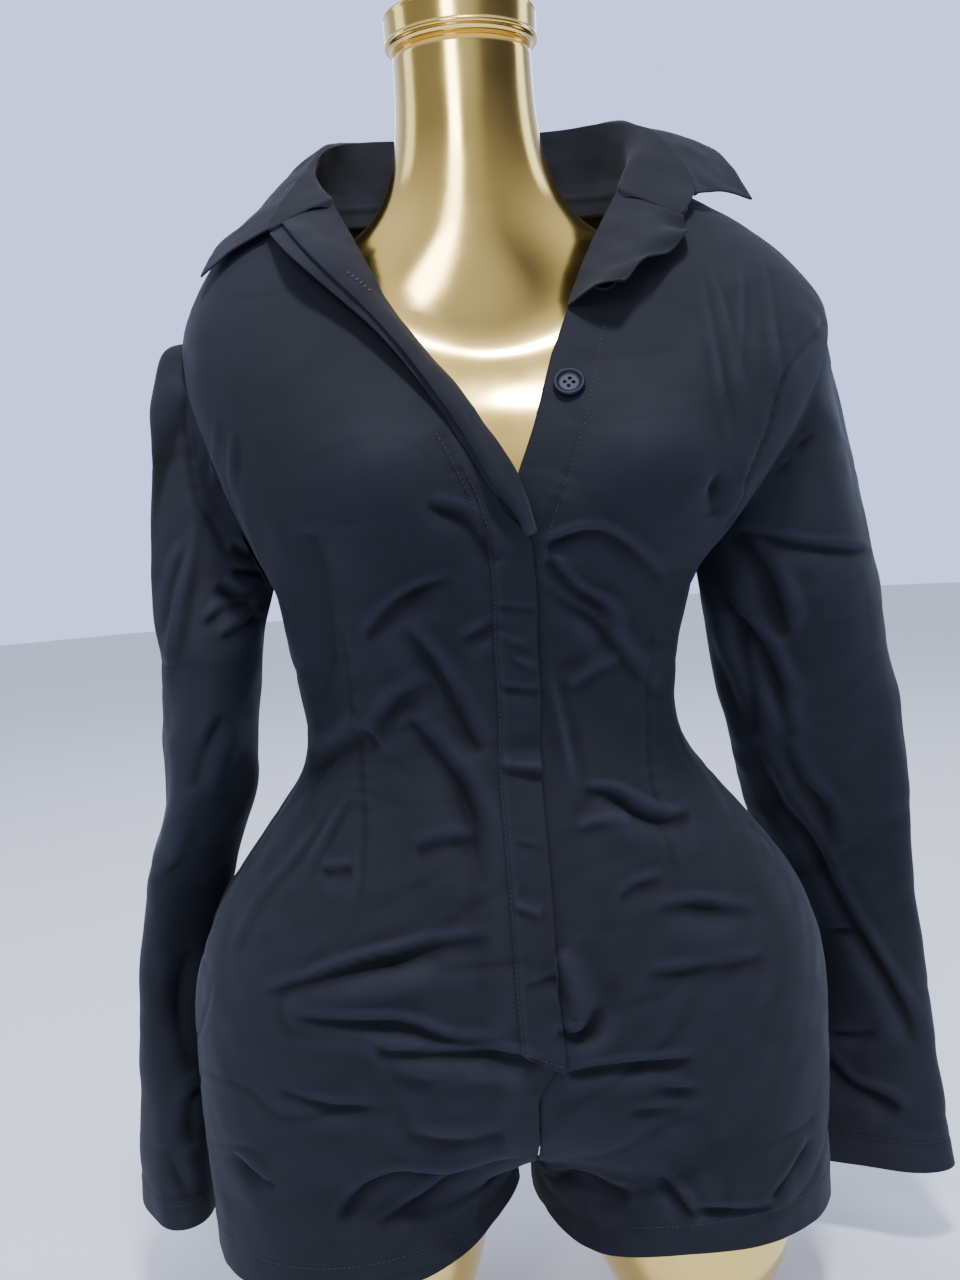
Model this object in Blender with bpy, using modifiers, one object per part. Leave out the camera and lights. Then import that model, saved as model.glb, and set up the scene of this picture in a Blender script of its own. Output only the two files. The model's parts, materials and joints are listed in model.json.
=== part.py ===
"""Romper on a limbless dress form.

A shirt-collar playsuit of black suiting with a concealed button fly, worn open at the neck by a dress form
that stands on two thigh stubs. Units are metres, +Z is up, the wearer faces -Y, and the wearer's left is +X.

Every panel of the body lies on one surface, which is given by SECTIONS: one row for each ring of the body,
from the neckline to the leg hems. A place on it is a row number, and an angle that runs from 0 at the centre
front over 90 at the side seam to 180 at the centre back. Layers are the same places moved out.
"""

import math

import bmesh
import bpy
import numpy as np
from mathutils import Vector

OBJECT_NAME = "romper_on_dress_form"

CLOTH = 0.0015  # wall of one layer of suiting
LAYER = 0.0021  # from one layer to the next: the wall and the air over it
SEAM = 0.0003  # air between two pieces that are sewn together
BAND = 0.025  # width of the button band and of the fly cover
BAND_COLUMNS = 3  # columns of faces across the band
MIDDLE = (0.0135, 0.0120)  # the middle of the object, across and back from the axis of the form's neck
SQUARE = 0.07  # how much fuller than an ellipse the body's rings are at their quarters

# One row for each ring of the body, top to bottom.
# half: half width. side_y, side_z: the side seam. front_*, back_*: the centre front and the centre back.
# shift: how far the ring hangs to the wearer's left. leg: 0 on the body, 1 where each leg has its own ring.
# right_edge, left_edge: where each front ends, measured across from the middle towards its own side.
# arm_right, arm_left, arm_back: the armholes' angles. room: the air between the cloth and the dress form.
SECTION_COLUMNS = (
    "half side_y side_z front_y front_z back_y back_z shift leg "
    "right_edge left_edge arm_right arm_left arm_back room"
).split()
SECTIONS = {
    "neckline": (0.098, 0.012, 0.744, -0.060, 0.690, 0.070, 0.755, 0.000, 0, 0.0800, 0.0800, 90, 90, 90, 0.0200),
    "collar_bone": (0.118, 0.012, 0.736, -0.070, 0.670, 0.079, 0.741, 0.002, 0, 0.0690, 0.0560, 90, 90, 90, 0.0120),
    "yoke": (0.140, 0.010, 0.724, -0.080, 0.648, 0.088, 0.722, 0.005, 0, 0.0585, 0.0430, 90, 90, 90, 0.0040),
    "yoke_low": (0.164, 0.008, 0.706, -0.090, 0.626, 0.094, 0.697, 0.009, 0, 0.0425, 0.0310, 90, 90, 90, 0.0020),
    "shoulder_top": (0.185, 0.005, 0.682, -0.100, 0.605, 0.098, 0.668, 0.014, 0, 0.0262, 0.0225, 90, 90, 90, 0.0012),
    "shoulder": (0.198, 0.003, 0.656, -0.107, 0.586, 0.099, 0.640, 0.017, 0, 0.0140, 0.0155, 90, 90, 90, 0.0022),
    "arm_top": (0.196, 0.002, 0.625, -0.112, 0.567, 0.098, 0.612, 0.016, 0, 0.0028, 0.0072, 80, 63, 104, 0.0026),
    "arm": (0.184, 0.002, 0.592, -0.114, 0.550, 0.095, 0.585, 0.012, 0, -0.0050, 0.0000, 76, 59, 112, 0.0022),
    "arm_low": (0.167, 0.002, 0.558, -0.113, 0.531, 0.091, 0.555, 0.006, 0, -0.0100, -0.0070, 78, 63, 112, 0.0020),
    "arm_base": (0.149, 0.002, 0.527, -0.110, 0.511, 0.086, 0.527, 0.000, 0, -0.0112, -0.0120, 82, 74, 104, 0.0015),
    "armpit": (0.132, 0.002, 0.500, -0.104, 0.492, 0.081, 0.500, -0.006, 0, -0.0120, -0.0120, 90, 90, 90, 0.0020),
    "ribs": (0.124, 0.002, 0.468, -0.096, 0.464, 0.074, 0.468, -0.009, 0, -0.0115, -0.0120, 90, 90, 90, 0.0025),
    "waist_top": (0.118, 0.002, 0.436, -0.089, 0.434, 0.069, 0.436, -0.009, 0, -0.0125, -0.0120, 90, 90, 90, 0.0030),
    "waist": (0.116, 0.003, 0.408, -0.086, 0.407, 0.070, 0.408, -0.008, 0, -0.0115, -0.0120, 90, 90, 90, 0.0030),
    "waist_low": (0.124, 0.005, 0.382, -0.088, 0.381, 0.082, 0.382, -0.007, 0, -0.0105, -0.0120, 90, 90, 90, 0.0030),
    "hip_top": (0.141, 0.008, 0.358, -0.094, 0.355, 0.102, 0.356, -0.006, 0, -0.0105, -0.0120, 90, 90, 90, 0.0025),
    "hip_high": (0.163, 0.010, 0.330, -0.101, 0.327, 0.125, 0.328, -0.005, 0, -0.0105, -0.0120, 90, 90, 90, 0.0020),
    "hip_mid": (0.185, 0.012, 0.300, -0.108, 0.297, 0.143, 0.298, -0.005, 0, -0.0104, -0.0120, 90, 90, 90, 0.0012),
    "hip_low": (0.199, 0.013, 0.268, -0.113, 0.265, 0.153, 0.264, -0.005, 0, -0.0100, -0.0120, 90, 90, 90, 0.0008),
    "hip": (0.205, 0.013, 0.236, -0.114, 0.233, 0.155, 0.228, -0.005, 0, -0.0110, SEAM, 90, 90, 90, 0.0008),
    "seat": (0.206, 0.012, 0.206, -0.112, 0.203, 0.149, 0.192, -0.005, 0, SEAM, SEAM, 90, 90, 90, 0.0018),
    "seat_low": (0.206, 0.010, 0.176, -0.108, 0.169, 0.139, 0.160, -0.005, 0.07, SEAM, SEAM, 90, 90, 90, 0.0140),
    "thigh": (0.205, 0.008, 0.151, -0.104, 0.146, 0.130, 0.139, -0.005, 0.32, SEAM, SEAM, 90, 90, 90, 0.0140),
    "crotch_top": (0.204, 0.006, 0.134, -0.101, 0.131, 0.124, 0.129, -0.005, 0.69, SEAM, SEAM, 90, 90, 90, 0.0140),
    "crotch": (0.203, 0.005, 0.119, -0.099, 0.124, 0.119, 0.124, -0.005, 1, SEAM, SEAM, 90, 90, 90, 0.0140),
    "leg": (0.203, 0.005, 0.100, -0.099, 0.108, 0.117, 0.108, -0.005, 1, SEAM, SEAM, 90, 90, 90, 0.0140),
    "hem": (0.203, 0.005, 0.081, -0.100, 0.093, 0.115, 0.093, -0.005, 1, SEAM, SEAM, 90, 90, 90, 0.0140),
}
ROW = {name: number for number, name in enumerate(SECTIONS)}
SECTION = {
    column: np.array([row[place] for row in SECTIONS.values()], float)
    for place, column in enumerate(SECTION_COLUMNS)
}

# Soft forms on the body: place (x, z), reach across and up, and how far they stand out.
SWELL_COLUMNS = "x z wide high out".split()
SWELLS = {
    "bust_right": (-0.072, 0.566, 0.046, 0.044, 0.020),
    "bust_left": (0.078, 0.566, 0.046, 0.044, 0.020),
}

# The largest folds: a soft ridge on the front from one place (x, z) to another, how wide it is and how far it
# stands out in its middle.
FOLDS = {
    "pull_at_closure": (-0.070, 0.552, -0.016, 0.520, 0.012, 0.0030),
    "under_bust_right": (-0.036, 0.498, -0.082, 0.452, 0.014, 0.0040),
    "under_bust_left": (0.026, 0.500, 0.080, 0.428, 0.014, 0.0045),
    "hip_right": (-0.137, 0.270, -0.034, 0.288, 0.013, 0.0030),
    "seat_right": (-0.121, 0.250, -0.021, 0.219, 0.013, 0.0030),
    "hip_left": (0.032, 0.372, 0.095, 0.350, 0.013, 0.0035),
    "seat_left": (0.059, 0.286, 0.150, 0.283, 0.013, 0.0030),
    "fly_bulge": (0.026, 0.315, 0.026, 0.236, 0.014, 0.0040),
    "leg_right": (-0.165, 0.160, -0.080, 0.165, 0.013, 0.0030),
    "leg_left": (0.020, 0.150, 0.090, 0.138, 0.013, 0.0030),
}

LEG_GAP = {"crotch": 0.0026, "leg": 0.0065, "hem": 0.0055}  # from the middle to each leg's inner side
LEG_DEPTH = 0.93  # how far a leg's ring reaches to the front and back, against the body's ring
# Where the front of each leg hem hangs lower, or with a minus sign higher: how far, round which angle, how wide.
HEM_HANGS = {
    "right": ((-0.013, 12, 14), (0.004, 55, 22)),
    "left": ((0.012, 22, 13),),
}


def spline(values, at):
    """A smooth curve through values given at 0, 1, 2 ..., read at one place."""
    last = len(values) - 1
    at = min(max(at, 0.0), float(last))
    low = min(int(at), last - 1)
    step = at - low
    before, here = values[max(low - 1, 0)], values[low]
    there, after = values[low + 1], values[min(low + 2, last)]
    rise_here, rise_there = (there - before) / 2, (after - here) / 2
    return (
        here * (2 * step**3 - 3 * step**2 + 1)
        + rise_here * (step**3 - 2 * step**2 + step)
        + there * (3 * step**2 - 2 * step**3)
        + rise_there * (step**3 - step**2)
    )


def ease(low, high, value):
    """0 below low, 1 above high, and a smooth step between."""
    step = min(max((value - low) / (high - low), 0.0), 1.0)
    return step * step * (3 - 2 * step)


def leg_gap(row):
    """From the middle to the inner side of a leg, at a row of the body."""
    names = list(LEG_GAP)
    return float(np.interp(row, [ROW[name] for name in names], [LEG_GAP[name] for name in names]))


def swell(x, z):
    """How far the soft forms of the chest stand out at a place on the front."""
    total = 0.0
    for at_x, at_z, wide, high, out in SWELLS.values():
        total += out * math.exp(-(((x - at_x) / wide) ** 2) - ((z - at_z) / high) ** 2)
    for x_from, z_from, x_to, z_to, wide, out in FOLDS.values():
        long_x, long_z = x_to - x_from, z_to - z_from
        length = math.hypot(long_x, long_z)
        along = ((x - x_from) * long_x + (z - z_from) * long_z) / length**2
        aside = ((x - x_from) * long_z - (z - z_from) * long_x) / length
        if 0 < along < 1:
            total += out * math.sin(math.pi * along) ** 2 * math.exp(-((aside / wide) ** 2))
    return total


def read_sections(row):
    return {column: spline(SECTION[column], row) for column in SECTION_COLUMNS[:9]}


def ring_point(side, ring, row, angle, inset=0.0, hang=1.0):
    """A place on one ring. side: 1 is the wearer's left and -1 the right. hang: the share of the shift."""
    turn = math.radians(angle)
    across, along = math.sin(turn), math.cos(turn)
    ahead = along > 0
    reach = ring["front_y"] + inset - ring["side_y"] if ahead else ring["back_y"] - inset - ring["side_y"]
    reach_z = (ring["front_z"] if ahead else ring["back_z"]) - ring["side_z"]
    half = ring["half"] - inset
    full = 1 + SQUARE * math.sin(2 * turn) ** 2
    x = half * across * full
    y = ring["side_y"] + reach * abs(along) * full
    z = ring["side_z"] + reach_z * along * along
    leg = min(max(ring["leg"], 0.0), 1.0)
    if leg > 0:
        gap = leg_gap(row) + inset
        leg_half = (half - gap) / 2
        x = (1 - leg) * x + leg * (gap + leg_half - leg_half * math.cos(2 * turn))
        y = (1 - leg) * y + leg * (ring["side_y"] + LEG_DEPTH * reach * abs(math.sin(2 * turn)))
        if ahead:
            for drop, at, wide in HEM_HANGS["left" if side > 0 else "right"]:
                z -= drop * math.exp(-(((angle - at) / wide) ** 2)) * ease(ROW["thigh"], ROW["hem"], row)
    x = side * x + hang * ring["shift"]
    if ahead:
        y -= swell(x, z)
    return np.array((x, y, z))


_PLACES = {}


def body_place(side, row, angle):
    """A place on the inner face of the body's cloth, and the direction out of it."""
    key = (side, round(row, 5), round(angle, 5))
    if key not in _PLACES:
        step_row, step_angle = 0.08, 1.5
        low, high = max(row - step_row, 0.0), min(row + step_row, float(len(ROW) - 1))
        here = read_sections(row)
        place = ring_point(side, here, row, angle)
        down = ring_point(side, read_sections(high), high, angle) - ring_point(side, read_sections(low), low, angle)
        round_it = ring_point(side, here, row, angle + step_angle) - ring_point(side, here, row, angle - step_angle)
        out = np.cross(down, round_it) * side
        if row < ROW["crotch"] and side * (place[0] - here["shift"]) < CLOTH:
            out[0] = side * max(side * out[0], 0.0)
        _PLACES[key] = (place, out / np.linalg.norm(out))
    return _PLACES[key]


def edge_angle(side, row):
    """The angle of the ring at which this side's front ends."""
    numbers = range(len(ROW))
    across = float(np.interp(row, numbers, SECTION["left_edge" if side > 0 else "right_edge"]))
    shift = side * spline(SECTION["shift"], row) * (1 - ease(ROW["hip"], ROW["seat"], row))
    half = spline(SECTION["half"], row)
    return math.degrees(math.asin((across - shift) / half))


def seam_angle(row):
    """Half of a seam's air, as an angle of the ring."""
    return math.degrees(0.6 * SEAM / spline(SECTION["half"], row))


def band_angle(row):
    """The width of the button band, as an angle of the ring."""
    return math.degrees(BAND / spline(SECTION["half"], row))


def arm_angle(name, row):
    """An armhole's angle at a row, smooth between the shoulder and the armpit."""
    return spline(SECTION[name], row)


# ---------------------------------------------------------------- scene and materials


def clear_scene():
    for old in list(bpy.data.objects):
        bpy.data.objects.remove(old, do_unlink=True)


def make_material(name, colour, roughness, metallic=0.0):
    material = bpy.data.materials.new(name)
    material.use_nodes = True
    shader = material.node_tree.nodes["Principled BSDF"]
    shader.inputs["Base Color"].default_value = (*colour, 1.0)
    shader.inputs["Roughness"].default_value = roughness
    shader.inputs["Metallic"].default_value = metallic
    return material


def make_object(name, shape, material, collection):
    """An object in the collection from a bmesh, which it frees, with the object's middle on the origin."""
    bmesh.ops.recalc_face_normals(shape, faces=shape.faces)
    bmesh.ops.translate(shape, verts=shape.verts, vec=(-MIDDLE[0], -MIDDLE[1], 0))
    mesh = bpy.data.meshes.new(name)
    shape.to_mesh(mesh)
    shape.free()
    mesh.materials.append(material)
    mesh.shade_smooth()
    made = bpy.data.objects.new(name, mesh)
    collection.objects.link(made)
    return made


# ---------------------------------------------------------------- cloth


def cloth_sheet(across, down, place, wall=CLOTH, tube=False):
    """A wall of cloth as a bmesh.

    place(u, v) gives a point of its inner face and the direction out of it, for u across and v down, each
    from 0 to 1. A tube closes u = 1 onto u = 0.
    """
    shape = bmesh.new()
    at_u = shape.verts.layers.float.new("across")
    at_v = shape.verts.layers.float.new("down")
    bmesh.ops.create_grid(shape, x_segments=across, y_segments=down, size=0.5)
    for corner in shape.verts:
        corner[at_u], corner[at_v] = corner.co.x + 0.5, 0.5 - corner.co.y
        corner.co = place(corner[at_u], corner[at_v])[0]
    if tube:
        bmesh.ops.remove_doubles(shape, verts=shape.verts, dist=1e-6)
    grown = bmesh.ops.extrude_face_region(shape, geom=list(shape.faces))
    for corner in grown["geom"]:
        if isinstance(corner, bmesh.types.BMVert):
            point, out = place(corner[at_u], corner[at_v])
            corner.co = point + out * wall
    return shape


def panel(side, back, first, last, across, lift=None):
    """The place function of a front or a back, from one row of the body to another."""
    centre = (lambda row: 180 - seam_angle(row)) if back else (lambda row: edge_angle(side, row))
    arm = "arm_back" if back else ("arm_left" if side > 0 else "arm_right")

    def place(u, v):
        row = first + (last - first) * v
        outer = arm_angle(arm, row) + (seam_angle(row) if back else -seam_angle(row))
        inner = centre(row)
        if back:
            angle = inner + (outer - inner) * u
        else:
            band, share = band_angle(row), BAND_COLUMNS / across
            angle = inner + band * u / share
            if u > share:
                angle = inner + band + (outer - inner - band) * (u - share) / (1 - share)
        point, out = body_place(side, row, angle)
        rise = 0.0 if lift is None else lift(row, point[0])
        return point + out * rise, out

    return place


def overlap_lift(row, x):
    """The right front lies over the left one at the closure."""
    closed = ease(ROW["shoulder_top"], ROW["arm_top"], row) - ease(ROW["seat"], ROW["thigh"], row)
    return LAYER * closed * ease(-0.036, -0.018, x)


def loft(lines):
    """A place function over lines of points: u goes along a line and v from the first line to the last."""
    lines = np.array(lines, float)

    def point(u, v):
        u, v = min(max(u, 0.0), 1.0), min(max(v, 0.0), 1.0)
        stack = [[spline(line[:, axis], u * (len(line) - 1)) for axis in range(3)] for line in lines]
        return np.array([spline(np.array(stack)[:, axis], v * (len(lines) - 1)) for axis in range(3)])

    def place(u, v, step=0.02):
        along = point(u + step, v) - point(u - step, v)
        down = point(u, v + step) - point(u, v - step)
        out = np.cross(down, along)
        return point(u, v), out / np.linalg.norm(out)

    return place


# ---------------------------------------------------------------- sleeves

# One row for each ring of a sleeve below the armhole. z: height. x: how far out from the middle. y: how far
# back. out, fore: half widths, outwards and forwards. turn: how far the outer end is turned to the front.
SLEEVE_COLUMNS = "z x y out fore turn".split()
SLEEVES = {
    "left": (
        (0.462, 0.194, 0.006, 0.057, 0.042, 0),
        (0.420, 0.200, 0.010, 0.057, 0.038, 6),
        (0.370, 0.210, 0.022, 0.056, 0.033, 14),
        (0.310, 0.228, 0.056, 0.055, 0.025, 32),
        (0.250, 0.245, 0.074, 0.050, 0.023, 38),
        (0.190, 0.254, 0.074, 0.051, 0.023, 38),
        (0.130, 0.254, 0.067, 0.054, 0.025, 34),
        (0.060, 0.252, 0.060, 0.058, 0.029, 30),
    ),
    "right": (
        (0.462, 0.182, 0.010, 0.030, 0.048, 0),
        (0.420, 0.188, 0.018, 0.029, 0.052, 0),
        (0.370, 0.196, 0.032, 0.028, 0.054, 0),
        (0.310, 0.214, 0.066, 0.024, 0.052, -10),
        (0.250, 0.226, 0.084, 0.022, 0.052, -12),
        (0.190, 0.232, 0.088, 0.023, 0.052, -12),
        (0.130, 0.237, 0.085, 0.025, 0.053, -8),
        (0.075, 0.240, 0.080, 0.027, 0.056, 0),
    ),
}
SLEEVE_CAP = 3  # rings between the armhole and the first row
SLEEVE_SPLIT = SLEEVE_CAP + 3  # each sleeve is two solids, which meet at its elbow
SLEEVE_AIR = 0.003  # half of the air between those two, as a share of a row
# How the head of each sleeve leaves the armhole: how early its first ring comes, and how far its crown stands out.
SLEEVE_HEAD = {"left": (1.0, 0.004), "right": (3.0, 0.0165)}
SLEEVE_ROUND = 20  # columns round a sleeve
SEAM_ROW = 0.05  # the share of a body row that a sleeve stays off the ends of its armhole
SLEEVE_FOLD = 0.0035  # how far the long folds of a sleeve stand in and out


def armhole_place(side, turn):
    """A place on the armhole, and the direction out of the body there. turn: 0 at the shoulder, 0.5 at the armpit."""
    top, low = ROW["shoulder"], ROW["armpit"]
    ahead = turn <= 0.5
    share = 2 * turn if ahead else 2 - 2 * turn
    row = min(max(top + (low - top) * share, top + SEAM_ROW), low - SEAM_ROW)
    arm = ("arm_left" if side > 0 else "arm_right") if ahead else "arm_back"
    above = int(row)
    ends = []
    for number in (above, above + 1):
        air = seam_angle(number) * (4 if ahead else -4)
        ends.append(body_place(side, number, arm_angle(arm, number) + air))
    return tuple(a + (b - a) * (row - above) for a, b in zip(*ends))


def sleeve_ring(side, number, turn):
    """A place on a sleeve's ring, by its row number in SLEEVES, with the folds that run down it."""
    rows = np.array(SLEEVES["left" if side > 0 else "right"])
    z, x, y, out, fore, lean = (spline(rows[:, column], number) for column in range(6))
    spin = 2 * math.pi * turn
    fold = SLEEVE_FOLD * math.sin(3 * spin + 0.9 * number + (0 if side > 0 else 2)) * ease(0, 2, number)
    along_out, along_fore = (out + fold) * math.cos(spin), (fore + fold) * math.sin(spin)
    tilt = math.radians(lean)
    return np.array(
        (
            side * (x + along_out * math.cos(tilt) - along_fore * math.sin(tilt)),
            y - along_out * math.sin(tilt) - along_fore * math.cos(tilt),
            z,
        )
    )


def sleeve_head(side, turn, down, start):
    """A place between the armhole and the first row, on a sleeve that starts at a given place."""
    early, crown = SLEEVE_HEAD["left" if side > 0 else "right"]
    on_the_way = down / SLEEVE_CAP
    share = on_the_way**early
    rise = crown * math.sin(math.pi * on_the_way) * (0.5 + 0.5 * math.cos(2 * math.pi * turn))
    return start * (1 - share) + sleeve_ring(side, 0, turn) * share + np.array((side * rise, 0, 0))


def armhole_start(side, turn):
    """Where the sleeve starts: on the armhole, and lifted over the body's cloth where it bends away from it."""
    place, body_out = armhole_place(side, turn)
    round_it = armhole_place(side, (turn + 0.02) % 1)[0] - armhole_place(side, (turn - 0.02) % 1)[0]
    out = np.cross(round_it, sleeve_head(side, turn, 1, place) - place) * side
    bend = 1 - np.dot(body_out, out) / np.linalg.norm(out)
    return place + body_out * (CLOTH * bend + 4 * SEAM * min(1.0, 8 * bend))


def sleeve_place(side, turn, down):
    """A place on the sleeve. down: 0 at the armhole, SLEEVE_CAP at the first row, then one for each row."""
    turn = turn % 1.0

    def point(turn, down):
        if down >= SLEEVE_CAP:
            return sleeve_ring(side, down - SLEEVE_CAP, turn)
        return sleeve_head(side, turn, down, armhole_start(side, turn))

    step = 0.01
    low, high = max(down - 0.1, 0), min(down + 0.1, SLEEVE_CAP + len(SLEEVES["left"]) - 1)
    round_it = point((turn + step) % 1, down) - point((turn - step) % 1, down)
    out = np.cross(round_it, point(turn, high) - point(turn, low)) * side
    return point(turn, down), out / np.linalg.norm(out)


def make_sleeve(side, first, last):
    """A sleeve from one of its rings to another."""
    rows = round(last - first)
    return cloth_sheet(
        SLEEVE_ROUND, rows, lambda u, v: sleeve_place(side, u, first + v * (last - first)), tube=True
    )


# ---------------------------------------------------------------- collar and turned-out fronts

# Stations along the collar, from the back to each front end: the fold at its top and the edge of its fall.
# Its foot follows the neckline, at NECK_ANGLES, and from where the fronts turn out the top of those.
NECK_ANGLES = {"back": 180, "back_side": 138, "side": 98, "shoulder": 76}
COLLAR_COLUMNS = "fold_x fold_y fold_z edge_x edge_y edge_z".split()
COLLAR_ROUND = 36  # columns of faces along the collar
COLLAR = {
    "left": {
        "back": (0.000, 0.078, 0.790, 0.000, 0.113, 0.744),
        "back_side": (0.064, 0.064, 0.789, 0.092, 0.095, 0.746),
        "side": (0.094, 0.030, 0.784, 0.132, 0.062, 0.752),
        "shoulder": (0.107, 0.014, 0.778, 0.150, 0.044, 0.761),
        "turn": (0.118, 0.002, 0.770, 0.160, 0.026, 0.763),
        "tab": (0.129, -0.016, 0.749, 0.169, 0.010, 0.746),
        "end": (0.133, -0.036, 0.725, 0.176, -0.004, 0.724),
    },
    "right": {
        "back": (0.000, 0.078, 0.790, 0.000, 0.113, 0.744),
        "back_side": (-0.062, 0.064, 0.787, -0.088, 0.098, 0.744),
        "side": (-0.084, 0.032, 0.776, -0.112, 0.062, 0.752),
        "shoulder": (-0.092, 0.014, 0.766, -0.127, 0.040, 0.742),
        "turn": (-0.102, -0.003, 0.753, -0.141, 0.020, 0.728),
        "tab": (-0.114, -0.024, 0.734, -0.157, -0.006, 0.708),
        "end": (-0.124, -0.041, 0.716, -0.165, -0.034, 0.689),
    },
}
TURNED_ARCH = 0.005  # how far a turned-out front arches off the front below it, between its fold and its edge
# The outer edge of each turned-out front, against the rows of the body whose edge it folds at.
TURNED = {
    "left": {
        "neckline": (0.120, -0.047, 0.7055),
        "collar_bone": (0.116, -0.066, 0.691),
        "yoke": (0.071, -0.098, 0.666),
    },
    "right": {
        "neckline": (-0.122, -0.044, 0.7085),
        "collar_bone": (-0.110, -0.072, 0.690),
        "yoke": (-0.074, -0.092, 0.654),
        "yoke_low": (-0.053, -0.103, 0.627),
        "shoulder_top": (-0.035, -0.112, 0.599),
        "shoulder": (-0.023, -0.119, 0.577),
        "arm_top": (-0.011, -0.123, 0.556),
        "arm": (-0.003, -0.124, 0.541),
    },
}


def turned_place(side):
    """The back of a turned-out front, from the fold to an outer edge that stands off the front below it."""
    fold, middle, rim = [], [], []
    for name, outer in TURNED["left" if side > 0 else "right"].items():
        point, out = body_place(side, ROW[name], edge_angle(side, ROW[name]))
        rise = overlap_lift(ROW[name], point[0]) if side < 0 else 0.0
        begin = point + out * (LAYER + rise)
        arch = 0.0 if name == "neckline" else TURNED_ARCH
        fold.append(begin)
        middle.append((begin + np.array(outer)) / 2 + out * arch)
        rim.append(np.array(outer))
    return loft([rim, middle, fold] if side > 0 else [fold, middle, rim])


def collar_foot(side, station):
    """The collar's foot at a station, just over the neckline or the turned-out front."""
    over = np.array((0, 0, 3 * SEAM))
    if station in NECK_ANGLES:
        point, out = body_place(side, 0, NECK_ANGLES[station])
        return point + np.array((0, 0, CLOTH * out[2])) + over
    share = {"turn": 0.0, "tab": 0.5, "end": 1.0}[station]
    point, out = turned_place(side)(0, 1 - share if side > 0 else share)
    return point + out * (CLOTH + 3 * SEAM + (0 if side > 0 else LAYER)) + over


def collar_lines():
    """The foot, the fold and the fall's edge, each from the wearer's right end round the back to the left end."""
    stations = list(COLLAR["left"])
    walk = [(-1, name) for name in reversed(stations)] + [(1, name) for name in stations[1:]]
    foot = [collar_foot(side, name) for side, name in walk]
    rows = [COLLAR["left" if side > 0 else "right"][name] for side, name in walk]
    return foot, [row[:3] for row in rows], [row[3:] for row in rows]


def make_collar_stand():
    foot, fold, _ = collar_lines()
    return cloth_sheet(COLLAR_ROUND, 3, loft([foot, fold]))


def make_collar_fall():
    """The fall starts just outside the fold and arches a little on its way down."""
    foot, fold, edge = collar_lines()
    stand = loft([foot, fold])
    last = len(fold) - 1
    start = []
    middle = []
    for number, (top, low) in enumerate(zip(fold, edge)):
        out = stand(number / last, 1)[1]
        air = (8 if number in (0, last) else 5) * SEAM
        begin = np.array(top) + out * (CLOTH + air) + np.array((0, 0, SEAM))
        start.append(begin)
        middle.append((begin + np.array(low)) / 2 + np.array((0, 0, 0.004)) + out * 0.002)
    return cloth_sheet(COLLAR_ROUND, 4, loft([edge, middle, start]))


def make_turned_front(side, layer=0, share=1.0):
    """A turned-out front edge, or a layer that lies on it and is this share of its width."""
    back = turned_place(side)

    def place(u, v):
        point, out = back(u, 1 - (1 - v) * share if side > 0 else v * share)
        return point + out * layer * LAYER, out

    return cloth_sheet(max(8, 2 * len(TURNED["left" if side > 0 else "right"])), round(4 * share), place)


# ---------------------------------------------------------------- fly


def make_fly_cover():
    """The cover strip over the closure, from where it turns out with the front to the foot of the fly."""
    first, last = ROW["arm"] + 0.15, ROW["hip"] + 0.4
    steps = math.ceil(last - first)

    def place(u, v):
        row = min(first + steps * v, last)
        edge = edge_angle(-1, min(row, ROW["hip"]))
        point, out = body_place(-1, row, edge + band_angle(row) * u)
        return point + out * 2 * LAYER, out

    return cloth_sheet(BAND_COLUMNS, steps, place)


# ---------------------------------------------------------------- buttons

BUTTON_PROFILE = (  # from the middle of the front, out and round to the middle of the back: radius and height
    (0.0000, 0.0020),
    (0.0056, 0.0021),
    (0.0066, 0.0026),
    (0.0076, 0.0031),
    (0.0086, 0.0028),
    (0.0090, 0.0018),
    (0.0085, 0.0010),
    (0.0060, 0.0000),
    (0.0000, 0.0000),
)


# Each button that shows, on the left front: its row of the body, and how far it sits from the edge.
BUTTONS = (
    ("button_open", ROW["shoulder_top"] - 0.1, 0.0150),
    ("button_turned", ROW["yoke"] - 0.3, 0.0170),
)


def make_turned(name, profile, steps, material, collection, place=(0, 0, 0), out=(0, 0, 1)):
    """A profile of radius and height, spun round its own axis, which stands at a place and points out."""
    outline = bmesh.new()
    corners = [outline.verts.new((radius, 0, height)) for radius, height in profile]
    for pair in zip(corners, corners[1:]):
        outline.edges.new(pair)
    mesh = bpy.data.meshes.new(name)
    outline.to_mesh(mesh)
    outline.free()
    mesh.materials.append(material)
    made = bpy.data.objects.new(name, mesh)
    made.location = (place[0] - MIDDLE[0], place[1] - MIDDLE[1], place[2])
    made.rotation_euler = Vector((0, 0, 1)).rotation_difference(Vector(out)).to_euler()
    collection.objects.link(made)
    screw = made.modifiers.new("turned", "SCREW")
    screw.steps = steps
    screw.render_steps = steps
    screw.use_merge_vertices = True
    screw.merge_threshold = 0.00001
    screw.use_smooth_shade = True
    return made


# ---------------------------------------------------------------- dress form

FORM_AROUND = 32  # columns round the form
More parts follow.
